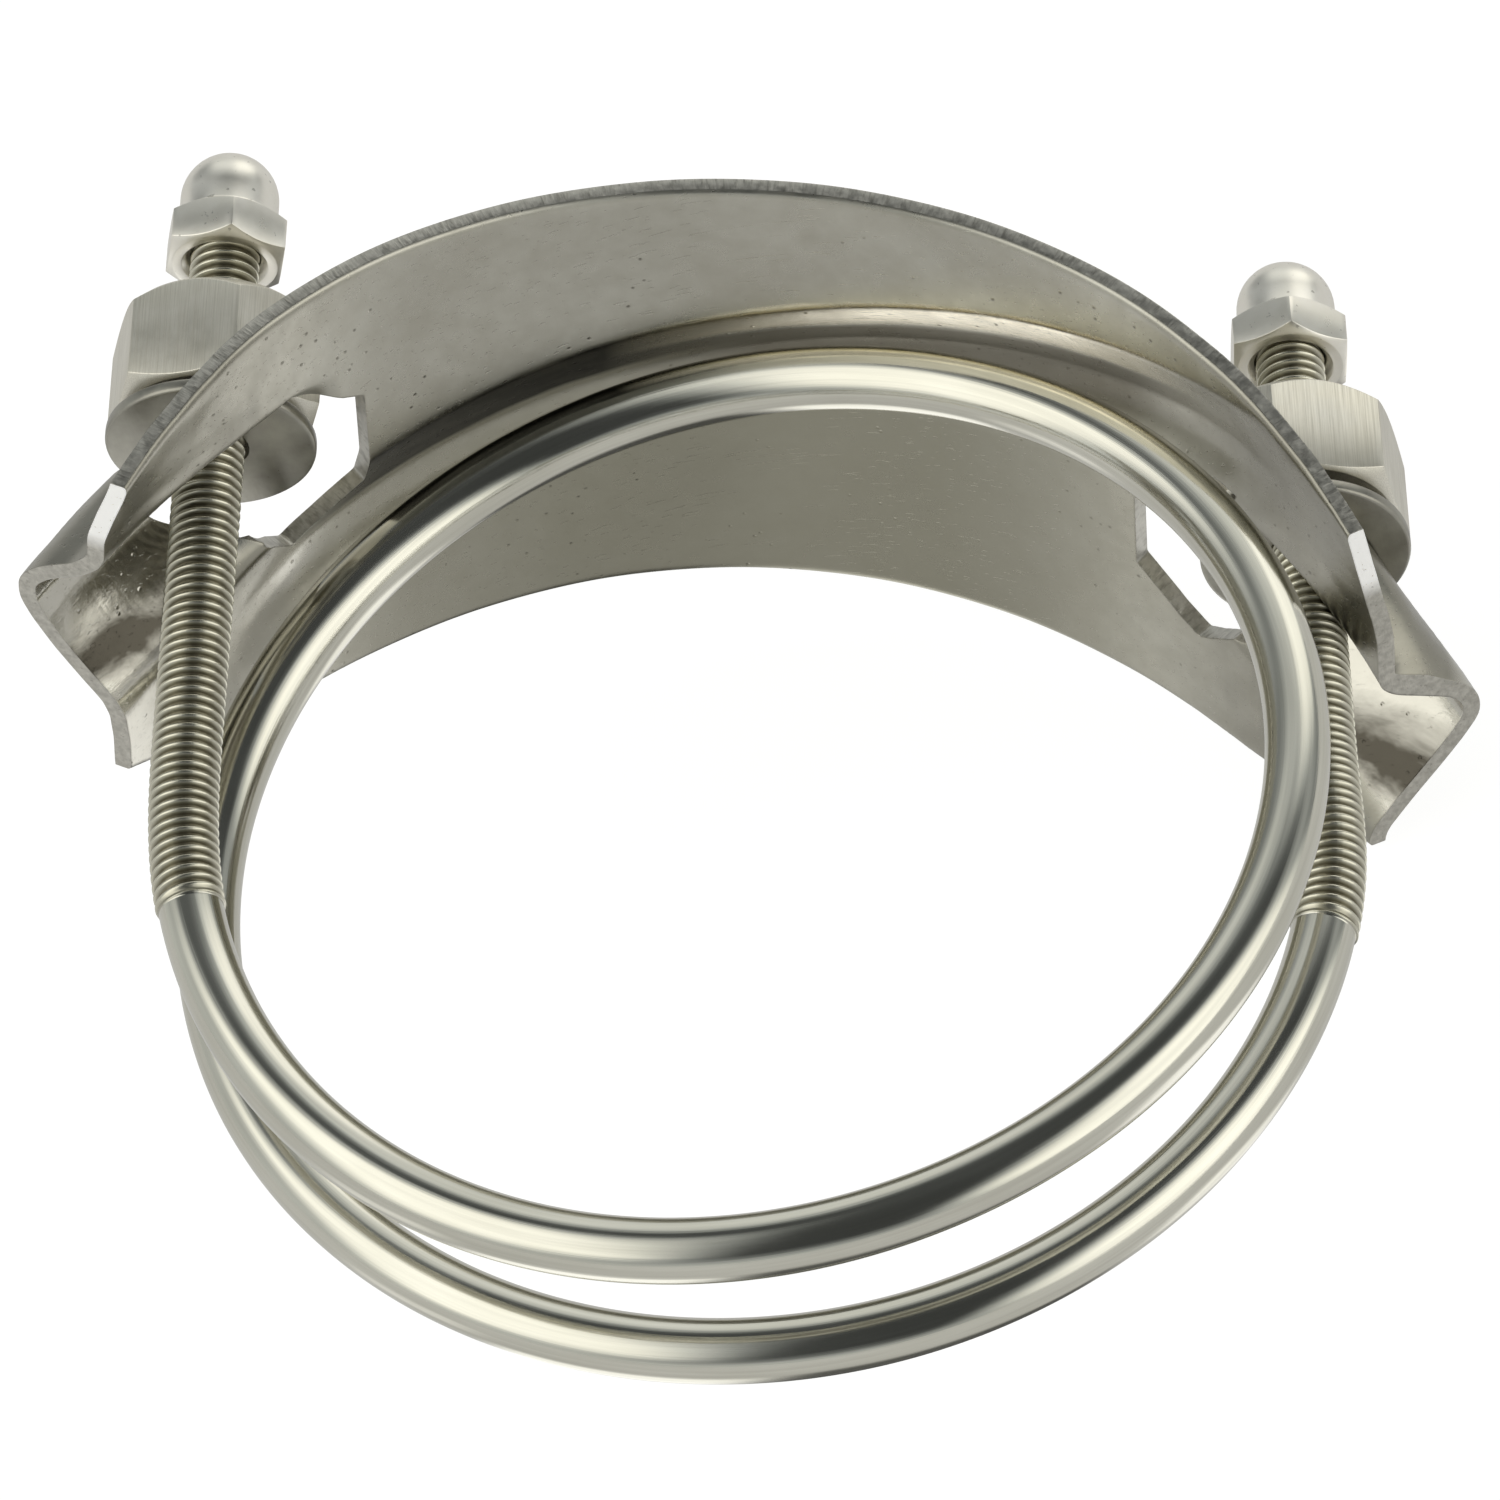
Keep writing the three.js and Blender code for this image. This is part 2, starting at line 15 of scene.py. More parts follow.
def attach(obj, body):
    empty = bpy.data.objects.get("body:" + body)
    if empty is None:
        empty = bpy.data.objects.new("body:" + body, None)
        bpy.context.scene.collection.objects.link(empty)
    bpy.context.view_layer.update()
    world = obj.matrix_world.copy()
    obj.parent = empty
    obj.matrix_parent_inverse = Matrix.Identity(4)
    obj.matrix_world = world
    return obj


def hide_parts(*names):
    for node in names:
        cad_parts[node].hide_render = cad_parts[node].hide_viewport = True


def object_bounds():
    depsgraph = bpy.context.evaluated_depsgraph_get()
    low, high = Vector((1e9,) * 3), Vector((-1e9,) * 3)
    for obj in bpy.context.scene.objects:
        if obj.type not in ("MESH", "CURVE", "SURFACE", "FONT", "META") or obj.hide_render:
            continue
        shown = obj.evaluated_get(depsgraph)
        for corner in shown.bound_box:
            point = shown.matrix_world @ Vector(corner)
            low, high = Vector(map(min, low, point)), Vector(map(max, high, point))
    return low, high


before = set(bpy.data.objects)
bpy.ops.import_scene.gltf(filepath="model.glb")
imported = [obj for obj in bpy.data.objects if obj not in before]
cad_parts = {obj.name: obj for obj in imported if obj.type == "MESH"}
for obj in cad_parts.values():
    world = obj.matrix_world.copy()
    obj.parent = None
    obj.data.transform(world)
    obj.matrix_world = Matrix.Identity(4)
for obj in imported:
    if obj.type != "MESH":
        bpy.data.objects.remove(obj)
cad_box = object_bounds()

# ------------------------------------------------------------------ dimensions, mm
HOSE_AXIS = np.array([1.18, -11.1958, 2.4082])    # hose-axis origin in the row frame
SIDES = ("left", "right")

# rod
ROD_R, THREAD_R, THREAD_DEPTH, PITCH = 3.68, 3.98, 0.7, 1.25
WIND_FROM, WIND_TO = 180.0, 720.0                 # degrees about the hose
JOIN_TRIM, THREAD_END = 6, 11.0                   # degrees in from each end of the winding
# radius and z of the rod's middle at even steps along the winding
WIND_R = [61.73, 62.92, 62.53, 62.58, 62.65, 62.79, 63.15, 63.46, 62.81, 62.96, 63.02]
WIND_Z = [15.14, 11.68, 9.38, 6.18, 3.01, -0.01, -2.96, -6.0, -8.95, -12.2, -15.28]
WIND_STEP = (WIND_TO - WIND_FROM) / (len(WIND_R) - 1)
FOOT_Y = 15.0
# x and z at the foot, lean in x and z per mm of y, and the tip's y
STUD = {"left": dict(x=-61.07, z=15.9, lean_x=0.067, lean_z=0.051, tip=82.6),
        "right": dict(x=61.97, z=-16.85, lean_x=-0.0491, lean_z=-0.051, tip=79.4)}

# hardware: y is where the piece starts on its stud, turn is in degrees
BORE_R = 4.3
THREAD_BORE_R = 4.08
WASHER = dict(radius=12.0, thick=1.5, y=dict(left=49.7, right=42.9))
NUT = dict(flats=22.1, height=13.3, chamfer=0.95, top=10.65, root=4.62,
           y=dict(left=52.45, right=46.9), turn=dict(left=6.5, right=34.0))
ACORN = dict(flats=13.0, hex=5.6, dome=5.65, height=14.35, mouth=4.95, depth=10.8,
             chamfer=0.93, root=4.5,
             y=dict(left=74.35, right=70.75), turn=dict(left=12.0, right=19.0))

# saddle: angles about the hose are in radians from +y, positive to the right
SHEET, BEND_R = 2.1, 73.63
FLARE, FLARE_FROM = 14.0, 0.75                    # radius gained per radian squared, from angle
RIM = [33.12, -6.18, 2.08, -1.04, -5.46]          # near rim's z, polynomial in the angle
END_LONG, END_SHORT = 1.144, 1.118                # long at the left near and right far corners
POSE_TURN, POSE_AT = (-0.061, 0.155, 0.010), (-0.08, -7.15, 0.0)
# middle's z, its rise per degree, half width and depth
GROOVE = dict(middle=2.3, slope=0.216, half=7.8, depth=3.0)
# groove depth against the distance from its middle, on the near side
NEAR_FLANK = ([0, 1.0, 3.2, 9.3, 10.0, 10.7], [3.0, 2.9, 2.2, 0.2, 0.04, 0])
# Humps over the studs, near to far: z and lift, beside the window and at the sheet's end
HUMP_FROM, HUMP_EASE = 0.66, 0.14
HUMP_WINDOW, HUMP_CHANGE = 0.815, 0.315
NEAR_POINTS = 7
NEAR_LAG = dict(left=1.0, right=2.4)              # exponent that delays the near points' change
HUMP = {
    "left": dict(
        window=[[37, 0], [35.5, 0], [26, 0], [23, 0.2], [21.5, 1.5], [20, 4.5], [17.5, 9],
                [15, 10.6], [9.5, 11], [6.2, 9.8], [5.2, 7], [4.2, 4.2], [2.8, 1.8],
                [1, 0.4], [-6, 0], [-25, 0]],
        end=[[37, -1.4], [35.5, -1.2], [23.6, 2.8], [20.4, 3.1], [18.4, 4], [16, 6.4],
             [13.4, 10.7], [11.2, 12.6], [8.7, 12.8], [6, 11.9], [1.6, 9.4], [-2.4, 6.7],
             [-6, 4.1], [-9, 3.1], [-12.3, 3.1], [-19.2, 3.4]]),
    "right": dict(
        window=[[25, 0], [20, 0], [10, 0], [3.6, 0.2], [2.4, 1.2], [1.2, 5], [0, 9],
                [-1, 10.6], [-4.5, 11], [-9, 11], [-12, 9.6], [-14, 7], [-15.6, 4.2],
                [-17.4, 1.8], [-19.5, 0.4], [-37, 0]],
        end=[[25, -1.2], [20, -0.8], [-1.2, 2.6], [-8, 2.5], [-9.7, 3], [-11.3, 4.4],
             [-13.5, 8.2], [-15.5, 11.6], [-17.2, 12.9], [-19, 13.1], [-21, 11.7],
             [-24.8, 8.1], [-28.6, 4.5], [-32.4, 1.1], [-34, 0.4], [-37, 0]]),
}
# window corners: degrees about the hose and z
WINDOW = {
    "left": [[-35.5, 16.1], [-35.5, 0.0], [-43.3, -4.2], [-47.2, 1.0], [-47.2, 22.4],
             [-43.3, 23.5]],
    "right": [[36.5, -16.6], [43.3, -23.6], [47.5, -20.0], [47.5, 6.3], [45.5, 6.2],
              [43.3, 5.0], [40.5, 2.6], [36.5, -3.4]],
}
CHANNEL = dict(left=(1.0, 22.4), right=(-20.0, 6.2))    # z range of the cut under the washer
SEAT = dict(left=43.2, right=42.5)                      # y on the stud where that cut begins
CUT_IN, CUT_OUT = BEND_R - 6, BEND_R + 24               # radii the window cutters span


# ------------------------------------------------------------------ numbers and curves
def unit(vector):
    vector = np.asarray(vector, float)
    return vector / np.linalg.norm(vector)


def smooth(t):
    t = np.clip(t, 0, 1)
    return t * t * (3 - 2 * t)


def hermite(t, length, start, start_slope, end, end_slope):
    return ((2 * t ** 3 - 3 * t ** 2 + 1) * start + (t ** 3 - 2 * t ** 2 + t) * length * start_slope
            + (-2 * t ** 3 + 3 * t ** 2) * end + (t ** 3 - t ** 2) * length * end_slope)


def natural_spline(values):
    """a natural cubic spline through values at 0, 1, 2 and so on"""
    count = len(values)
    matrix, rhs = np.eye(count), np.zeros(count)
    for i in range(1, count - 1):
        matrix[i, i - 1:i + 2] = [1, 4, 1]
        rhs[i] = 6 * (values[i + 1] - 2 * values[i] + values[i - 1])
    bend, values = np.linalg.solve(matrix, rhs), np.asarray(values, float)

    def curve(u):
        i = np.clip(np.floor(u).astype(int), 0, count - 2)
        t = u - i
        s = 1 - t
        return (s * values[i] + t * values[i + 1]
                + ((s ** 3 - s) * bend[i] + (t ** 3 - t) * bend[i + 1]) / 6)
    return curve


def monotone_cubic(x, y, at):
    """monotone cubic through (x, y), x rising, held flat outside"""
    width = np.diff(x)
    rise = np.diff(y) / width
    slope = np.zeros(len(x))
    for i in range(1, len(x) - 1):
        if rise[i - 1] * rise[i] > 0:
            before, after = 2 * width[i] + width[i - 1], width[i] + 2 * width[i - 1]
            slope[i] = (before + after) / (before / rise[i - 1] + after / rise[i])
    at = np.clip(at, x[0], x[-1])
    i = np.clip(np.searchsorted(x, at, side="right") - 1, 0, len(x) - 2)
    return hermite((at - x[i]) / width[i], width[i], y[i], slope[i], y[i + 1], slope[i + 1])


def waves(x, y, scale, count, seed):
    """smooth wandering field of about unit size, made of sine waves"""
    random = np.random.RandomState(seed)
    total = 0
    for _ in range(count):
        heading = random.uniform(0, 2 * math.pi)
        phase = random.uniform(0, 2 * math.pi)
        k = random.uniform(0.6, 1.6) * 2 * math.pi / scale
        total = total + np.sin(k * (x * math.cos(heading) + y * math.sin(heading)) + phase)
    return total / math.sqrt(count / 2)


def thread_profile(phase, root, crest=0.2):
    """0 at the root, 1 at the crest; root and crest are the shares of the pitch left flat"""
    t = np.abs(2 * (phase % 1.0) - 1)
    t = np.clip((t - root) / (1 - root - crest), 0, 1)
    return t ** 0.9


# ------------------------------------------------------------------ meshes
def to_row(points):
    return (np.asarray(points, float) + HOSE_AXIS) / 1000.0


def hose_points(mesh):
    """the mesh's vertices in hose-axis coordinates"""
    flat = np.zeros(len(mesh.vertices) * 3)
    mesh.vertices.foreach_get("co", flat)
    return flat.reshape(-1, 3) * 1000 - HOSE_AXIS


def signed_volume(verts, faces):
    a, b, c = verts[faces[:, 0]], verts[faces[:, 1]], verts[faces[:, 2]]
    volume = np.einsum("ij,ij->i", a, np.cross(b, c)).sum()
    if faces.shape[1] == 4:
        volume += np.einsum("ij,ij->i", a, np.cross(c, verts[faces[:, 3]])).sum()
    return volume / 6


def shade(ob, sharp):
    """smooth shading, with edges over the sharp angle in degrees kept crisp"""
    ob.data.shade_smooth()
    if sharp:
        ob.data.set_sharp_from_angle(angle=math.radians(sharp))


def add_object(name, mesh):
    ob = bpy.data.objects.new(name, mesh)
    bpy.context.scene.collection.objects.link(ob)
    return ob


def make(name, verts, quads, tris=np.zeros((0, 3), int), sharp=None):
    """a mesh object from vertices in hose-axis coordinates, its faces turned outwards"""
    if signed_volume(verts, quads) + signed_volume(verts, tris) < 0:
        quads, tris = quads[:, ::-1], tris[:, ::-1]
    mesh = bpy.data.meshes.new(name)
    mesh.from_pydata(to_row(verts).tolist(), [], quads.tolist() + tris.tolist())
    mesh.update()
    ob = add_object(name, mesh)
    shade(ob, sharp)
    return ob


def ring_faces(rings, sides, wrap=False):
    """quads between successive rings; wrap joins the last ring to the first"""
    i = np.arange(rings if wrap else rings - 1)[:, None] * sides
    k = np.arange(sides)[None, :]
    k_next = (k + 1) % sides
    j = (i + sides) % (rings * sides)
    return np.stack([i + k, i + k_next, j + k_next, j + k], -1).reshape(-1, 4)


def end_fans(rings, sides):
    """triangles from the end rings to two pole vertices, which follow all the rings"""
    k = np.arange(sides)
    k_next = (k + 1) % sides
    pole, last = rings * sides, (rings - 1) * sides
    return np.concatenate([np.stack([np.full(sides, pole), k_next, k], -1),
                           np.stack([np.full(sides, pole + 1), last + k, last + k_next], -1)])


def apply_modifiers(ob):
    graph = bpy.context.evaluated_depsgraph_get()
    mesh = bpy.data.meshes.new_from_object(ob.evaluated_get(graph),
                                           preserve_all_data_layers=True, depsgraph=graph)
    old = ob.data
    ob.modifiers.clear()
    ob.data = mesh
    mesh.name = ob.name
    bpy.data.meshes.remove(old)


def store(mesh, name, values):
    """a point attribute: numbers from a flat array, vectors from rows of three"""
    values = np.asarray(values, np.float32)
    kind, field = ("FLOAT_VECTOR", "vector") if values.ndim == 2 else ("FLOAT", "value")
    mesh.attributes.new(name, kind, "POINT").data.foreach_set(field, values.ravel())


# ------------------------------------------------------------------ rod
ROD_SIDES = 44
WIND_POINTS, JOIN_STEPS, STUD_POINTS = 1400, 60, 60
wind_r, wind_z = natural_spline(WIND_R), natural_spline(WIND_Z)


def stud_point(side, y):
    stud = STUD[side]
    y = np.asarray(y, float)
    return np.stack([stud["x"] + stud["lean_x"] * (y - FOOT_Y), y,
                     stud["z"] + stud["lean_z"] * (y - FOOT_Y)], -1)


def stud_axis(side):
    return unit([STUD[side]["lean_x"], 1.0, STUD[side]["lean_z"]])


def wind_point(degrees):
    degrees = np.asarray(degrees, float)
    u, angle = (degrees - WIND_FROM) / WIND_STEP, np.radians(degrees)
    radius = wind_r(u)
    return np.stack([radius * np.cos(angle), radius * np.sin(angle), wind_z(u)], -1)


def join_points(side, degrees):
    """the curve from the winding to the foot of a stud, without its end points"""
    sign = -1 if side == "left" else 1
    start, end = wind_point(degrees), stud_point(side, FOOT_Y)
    heading = unit(wind_point(degrees + 0.5 * sign) - wind_point(degrees - 0.5 * sign))
    t = (np.arange(1, JOIN_STEPS) / JOIN_STEPS)[:, None]
    return hermite(t, np.linalg.norm(start - end), start, heading, end, stud_axis(side))


def rod_path():
    """the rod's middle line, its arc lengths, and the arc lengths where the threads stop"""
    first, last = WIND_FROM + JOIN_TRIM, WIND_TO - JOIN_TRIM
    degrees = np.linspace(first, last, WIND_POINTS)
    left = np.concatenate([
        stud_point("left", np.linspace(STUD["left"]["tip"], FOOT_Y, STUD_POINTS)),
        join_points("left", first)[::-1]])
    right = np.concatenate([
        join_points("right", last),
        stud_point("right", np.linspace(FOOT_Y, STUD["right"]["tip"], STUD_POINTS))])
    points = np.concatenate([left, wind_point(degrees), right])
    lengths = np.linalg.norm(np.diff(points, axis=0), axis=1)
    arc = np.concatenate([[0], np.cumsum(lengths)])
    wind_arc = arc[len(left):len(left) + WIND_POINTS]
    stop_left = np.interp(WIND_FROM + THREAD_END, degrees, wind_arc)
    stop_right = np.interp(WIND_TO - THREAD_END, degrees, wind_arc)
    return points, arc, stop_left, stop_right


def rod_stations(total, stop_left, stop_right):
    """arc lengths of the rings: ten a pitch on the threads, sparser on the plain bar"""
    step, tip, tip_step, ease, gap = PITCH / 10, 0.8, 0.1, 0.3, 0.5
    at = np.concatenate([
        np.arange(0, tip, tip_step),
        np.arange(tip, stop_left - ease, step),
        np.linspace(stop_left - ease, stop_left + ease, 9),
        np.linspace(stop_left + gap, stop_right - gap, 620),
        np.linspace(stop_right - ease, stop_right + ease, 9),
        np.arange(stop_right + ease + step, total - tip, step),
        np.arange(total - tip, total + 1e-6, tip_step)])
    return at[np.concatenate([[True], np.diff(at) > 1e-4])]


def make_rod():
    path, path_arc, stop_left, stop_right = rod_path()
    total = path_arc[-1]
    at = rod_stations(total, stop_left, stop_right)
    middle = np.stack([np.interp(at, path_arc, path[:, k]) for k in range(3)], -1)
    tangent = np.gradient(middle, at, axis=0)
    tangent = tangent / np.linalg.norm(tangent, axis=1)[:, None]
    # a cross direction carried along the rod without twisting
    cross = np.zeros_like(middle)
    carried = np.array([0, 0, 1.0])
    for i in range(len(at)):
        carried = carried - carried.dot(tangent[i]) * tangent[i]
        carried = carried / np.linalg.norm(carried)
        cross[i] = carried
    other = np.cross(tangent, cross)

    arc, turn = np.meshgrid(at, np.arange(ROD_SIDES) * 2 * math.pi / ROD_SIDES, indexing="ij")
    threaded = np.maximum(smooth((stop_left + 0.15 - arc) / 0.3),
                          smooth((arc - stop_right + 0.15) / 0.3))
    profile = thread_profile(arc / PITCH - turn / (2 * math.pi), root=0.16)
    # the thread runs out over its last turn and a half or so
    to_stop = np.where(arc < total / 2, (stop_left - arc), (arc - stop_right))
    depth = THREAD_DEPTH * (0.25 + 0.75 * np.clip(to_stop / (1.6 * PITCH), 0, 1))
    tip_chamfer = np.clip(np.minimum(arc, total - arc) / 0.9, 0, 1)
    crest = THREAD_R - THREAD_DEPTH * (1 - tip_chamfer)
    thread_r = np.minimum(crest, THREAD_R - depth * (1 - profile))
    # slight draw marks on the plain bar
    marks = waves(arc, turn * ROD_R * 6, scale=60, count=5, seed=3)
    plain_r = ROD_R - 0.006 + 0.006 * marks
    radius = plain_r + (thread_r - plain_r) * threaded

    outward = np.cos(turn)[..., None] * cross[:, None, :] + np.sin(turn)[..., None] * other[:, None, :]
    verts = (middle[:, None, :] + radius[..., None] * outward).reshape(-1, 3)
    verts = np.concatenate([verts, middle[:1], middle[-1:]])
    ob = make("rod_surface", verts, ring_faces(len(at), ROD_SIDES), end_fans(len(at), ROD_SIDES))
    # each attribute ends with its values at the two poles
    place = np.stack([arc, ROD_R * np.cos(turn), ROD_R * np.sin(turn)], -1).reshape(-1, 3)
    store(ob.data, "rod_co", np.concatenate([place, [[0, 0, 0], [total, 0, 0]]]))
    store(ob.data, "on_thread", np.concatenate([threaded.ravel(), [1, 1]]))
    height = np.clip((radius - (THREAD_R - THREAD_DEPTH)) / THREAD_DEPTH, 0, 1)
    store(ob.data, "crest", np.concatenate([(height * threaded).ravel(), [0, 0]]))
    return ob


# ------------------------------------------------------------------ washers and nuts
# Each is built about its own y axis, from its seat at y = 0, and then set on its stud.
def stud_frame(side, y):
    """origin and x, y, z directions of a piece that starts at y on a stud"""
    axis = stud_axis(side)
    across = unit(np.array([1.0, 0, 0]) - axis[0] * axis)
    return stud_point(side, y), across, axis, np.cross(across, axis)


def hexagon(flats, turn, count):
    """angles and radii round a hexagon, from its size across the flats"""
    step = np.arange(count) * 2 * math.pi / count
    return np.radians(turn) + step, (flats / 2) / np.cos(step % (math.pi / 3) - math.pi / 6)


def ring(angle, radius, y):
    radius, y = np.broadcast_to(radius, angle.shape), np.broadcast_to(y, angle.shape)
    return np.stack([radius * np.cos(angle), y, radius * np.sin(angle)], -1)


def bore_rings(angle, y_from, y_to, root_r):
    """female thread, eight rings a pitch"""
    rings = []
    for y in np.arange(y_from, y_to + 1e-6, PITCH / 8):
        fade = smooth(min(y - y_from, y_to - y) / 0.9)
        groove = 1 - thread_profile(y / PITCH + angle / (2 * math.pi), root=0.1)
        rings.append(ring(angle, THREAD_BORE_R + (root_r - THREAD_BORE_R) * groove * fade, y))
    return rings


def make_piece(name, side, y, rings, sharp=30, bevel=0.0, poles=None):
    """rings joined into a solid on a stud: a loop, or a tube closed at its two poles"""
    verts, count, sides = np.concatenate(rings), len(rings), len(rings[0])
    origin, across, axis, down = stud_frame(side, y)
    faces = [ring_faces(count, sides, wrap=poles is None)]
    if poles:
        verts = np.concatenate([verts, poles])
        faces.append(end_fans(count, sides))
    placed = origin + verts[:, 0:1] * across + verts[:, 1:2] * axis + verts[:, 2:3] * down
    ob = make(name, placed, *faces, sharp=sharp)
    if bevel:
        edge = ob.modifiers.new("edge", "BEVEL")
        edge.width, edge.segments = bevel / 1000, 2
        edge.limit_method, edge.angle_limit = "ANGLE", math.radians(28)
        apply_modifiers(ob)
        bm = bmesh.new()
        bm.from_mesh(ob.data)
        bmesh.ops.dissolve_degenerate(bm, dist=2e-6, edges=bm.edges[:])
        bm.to_mesh(ob.data)
        bm.free()
        shade(ob, 40)
    # the piece's own axis coordinates, so that its finish follows the stud
    local = hose_points(ob.data) - origin
    store(ob.data, "own", np.stack([local @ across, local @ axis, local @ down], -1))
    return ob


def make_washer(side):
    sides, outer, thick = 96, WASHER["radius"], WASHER["thick"]
    angle = np.arange(sides) * 2 * math.pi / sides
    # radius and y
    profile = [
        (BORE_R + 0.12, 0.0), (outer - 0.42, 0.0), (outer - 0.2, 0.06), (outer - 0.06, 0.2),
        (outer, 0.42), (outer, thick - 0.3), (outer - 0.03, thick - 0.12),
        (outer - 0.12, thick - 0.02), (outer - 0.2, thick), (BORE_R + 0.2, thick),
        (BORE_R + 0.03, thick - 0.18), (BORE_R, thick - 0.4), (BORE_R, 0.15)]
    # stamped blanks are never perfectly flat
    rings = [ring(angle, r, y + 0.015 * np.sin(2 * angle + 0.7)) for r, y in profile]
    return make_piece(f"washer_{side}_surface", side, WASHER["y"][side], rings, sharp=50)


def make_nut(side):
    height = NUT["height"]
    angle, hex_r = hexagon(NUT["flats"], NUT["turn"][side], 132)
    base_r = NUT["flats"] / 2 * NUT["chamfer"]
    top_r = np.minimum(hex_r, NUT["top"])
    mouth_r, face_r, thread_inset = BORE_R + 0.65, 8.0, 0.75
    profile = [
        (mouth_r, 0), (face_r, 0), (base_r, 0),
        (hex_r, (hex_r - base_r) * math.tan(math.pi / 6)), (hex_r, height / 2),
        (hex_r, height - (hex_r - top_r) - 0.01),
        (top_r, height), (face_r, height), (mouth_r, height)]
    rings = [ring(angle, r, y) for r, y in profile]
    rings += bore_rings(angle, thread_inset, height - thread_inset, NUT["root"])[::-1]
    return make_piece(f"hex_nut_{side}_surface", side, NUT["y"][side], rings, bevel=0.16)


def make_acorn(side):
    dome, height, hex_h, depth = (ACORN[key] for key in ("dome", "height", "hex", "depth"))
    angle, hex_r = hexagon(ACORN["flats"], ACORN["turn"][side], 96)
    base_r = ACORN["flats"] / 2 * ACORN["chamfer"]
    shoulder_r = base_r - 0.35
    slope = math.tan(math.pi / 6)
    outside = [
        (ACORN["mouth"], 0.0), (base_r, 0.0), (hex_r, (hex_r - base_r) * slope),
        (hex_r, hex_h / 2), (hex_r, hex_h - (hex_r - shoulder_r) * slope), (shoulder_r, hex_h)]
    # small fillet into the dome's straight neck
    for k in range(4):
        bend = math.pi / 2 * k / 3
        outside.append((dome + 0.22 * (1 - math.sin(bend)),
                        hex_h + 0.03 + 0.28 * (1 - math.cos(bend))))
    outside.append((dome, height - dome - 0.4))
    # the dome stops short of its top, where the pole closes it
    for k in range(13):
        bend = math.pi / 2 * k / 13.5
        outside.append((dome * math.cos(bend), height - dome + dome * math.sin(bend)))
    bore_end = [(BORE_R, depth - 0.2), (3.2, depth + 0.6), (1.2, depth + 1.3)]
    rings = ([ring(angle, r, y) for r, y in outside[::-1]]
             + bore_rings(angle, 1.0, depth - 0.9, ACORN["root"])
             + [ring(angle, r, y) for r, y in bore_end])
    return make_piece(f"acorn_nut_{side}_surface", side, ACORN["y"][side], rings,
                      bevel=0.11, poles=[[0, height, 0], [0, depth + 1.6, 0]])


# ------------------------------------------------------------------ saddle
ROWS, COLUMNS = 330, 156                          # quads round the hose and along z
# shares of the width where the columns crowd towards each rim
RIM_COLUMNS = np.array([0, 0.0016, 0.0036, 0.0062, 0.0096, 0.0138, 0.0188])
SHEET_SLOT, CUT_SLOT, RIM_SLOT = 0, 1, 2

turn = Vector(POSE_TURN)                          # rotation vector, radians
POSE = np.array(Matrix.Translation(Vector(POSE_AT))
                @ Matrix.Rotation(turn.length, 4, turn.normalized()))


def posed(points):
    return points @ POSE[:3, :3].T + POSE[:3, 3]


def bent(radius, angle, z):
    """points about the saddle's axis"""
    return np.stack(np.broadcast_arrays(radius * np.sin(angle), radius * np.cos(angle), z), -1)


def rim_z(angle):
    return sum(c * angle ** i for i, c in enumerate(RIM))


def flare(angle):
    return FLARE * np.maximum(0, np.abs(angle) - FLARE_FROM) ** 2


def from_groove(angle, z):
    """distance along z from the groove's middle"""
    return z - (GROOVE["middle"] + GROOVE["slope"] * np.degrees(angle))


def hump_lift(side, angle, z):
    at_window, at_end = (np.array(HUMP[side][key], float) for key in ("window", "end"))
    t = min(1.0, max(0.0, (angle - HUMP_WINDOW) / HUMP_CHANGE))
    share = np.full((len(at_window), 1), t)
    share[:NEAR_POINTS] = t ** NEAR_LAG[side]
    points = at_window + (at_end - at_window) * share
    x, y = points[::-1, 0], points[::-1, 1]
    # the folds: straight runs with a Gaussian blur
    shift = np.arange(-14, 15) * 0.1
    weight = np.exp(-0.5 * (shift / 0.5) ** 2)
    folds = (np.interp(z[:, None] + shift, x, y) * weight).sum(1) / weight.sum()
    return (0.75 * folds + 0.25 * monotone_cubic(x, y, z)) * smooth((angle - HUMP_FROM) / HUMP_EASE)


def groove_lift(angle, z):
    offset = from_groove(angle, z)
    away = np.clip(np.abs(offset) / GROOVE["half"], 0, 1)
    rise = np.clip((1 - away) / 0.72, 0, 1)
    lift = GROOVE["depth"] * (0.35 * (0.5 + 0.5 * np.cos(math.pi * away))
                              + 0.65 * smooth(rise) * 0.5 + 0.65 * 0.5 * rise)
    # the side towards the near rim is a long shallow flank
    return np.where(offset > 0, np.interp(offset, *NEAR_FLANK), lift)


def saddle_row(across, along):
    """angle, z and inner radius; across is -1 left to 1 right, along 0 far to 1 near"""
    middle = (END_LONG + END_SHORT) / 2 * across
    near, far = rim_z(middle), -rim_z(-middle)
    z = far + (near - far) * along
    ends = (END_SHORT, END_LONG) if across < 0 else (END_LONG, END_SHORT)
    angle = across * (ends[0] + (ends[1] - ends[0]) * along)
    lift = np.zeros_like(z)
    if abs(middle) >= HUMP_FROM:
        lift = hump_lift("left" if across < 0 else "right", abs(middle), z)
    fade = 1 - smooth((np.abs(angle) - 0.72) / 0.3)
    lift = lift + groove_lift(angle, z) * np.clip(1 - lift / 4, 0, 1) * fade
    return angle, z, BEND_R + flare(angle) + lift


def pressing_waves(angle, z):
    """faint waves left by pressing, most where the sheet is drawn out"""
    drawn = smooth((np.abs(angle) - 0.62) / 0.2)
    x = angle * BEND_R
    broad = 0.035 * waves(x, z, scale=26, count=7, seed=11)
    fine = (0.03 * waves(x, z, scale=9.0, count=9, seed=12)
            + 0.004 * waves(x, z, scale=3.2, count=9, seed=13))
    # die marks that cross the drawn flanks
    marks = drawn * 0.010 * waves(x * 3.2, z * 0.35, scale=5.0, count=4, seed=14)
    return broad + drawn * fine + marks


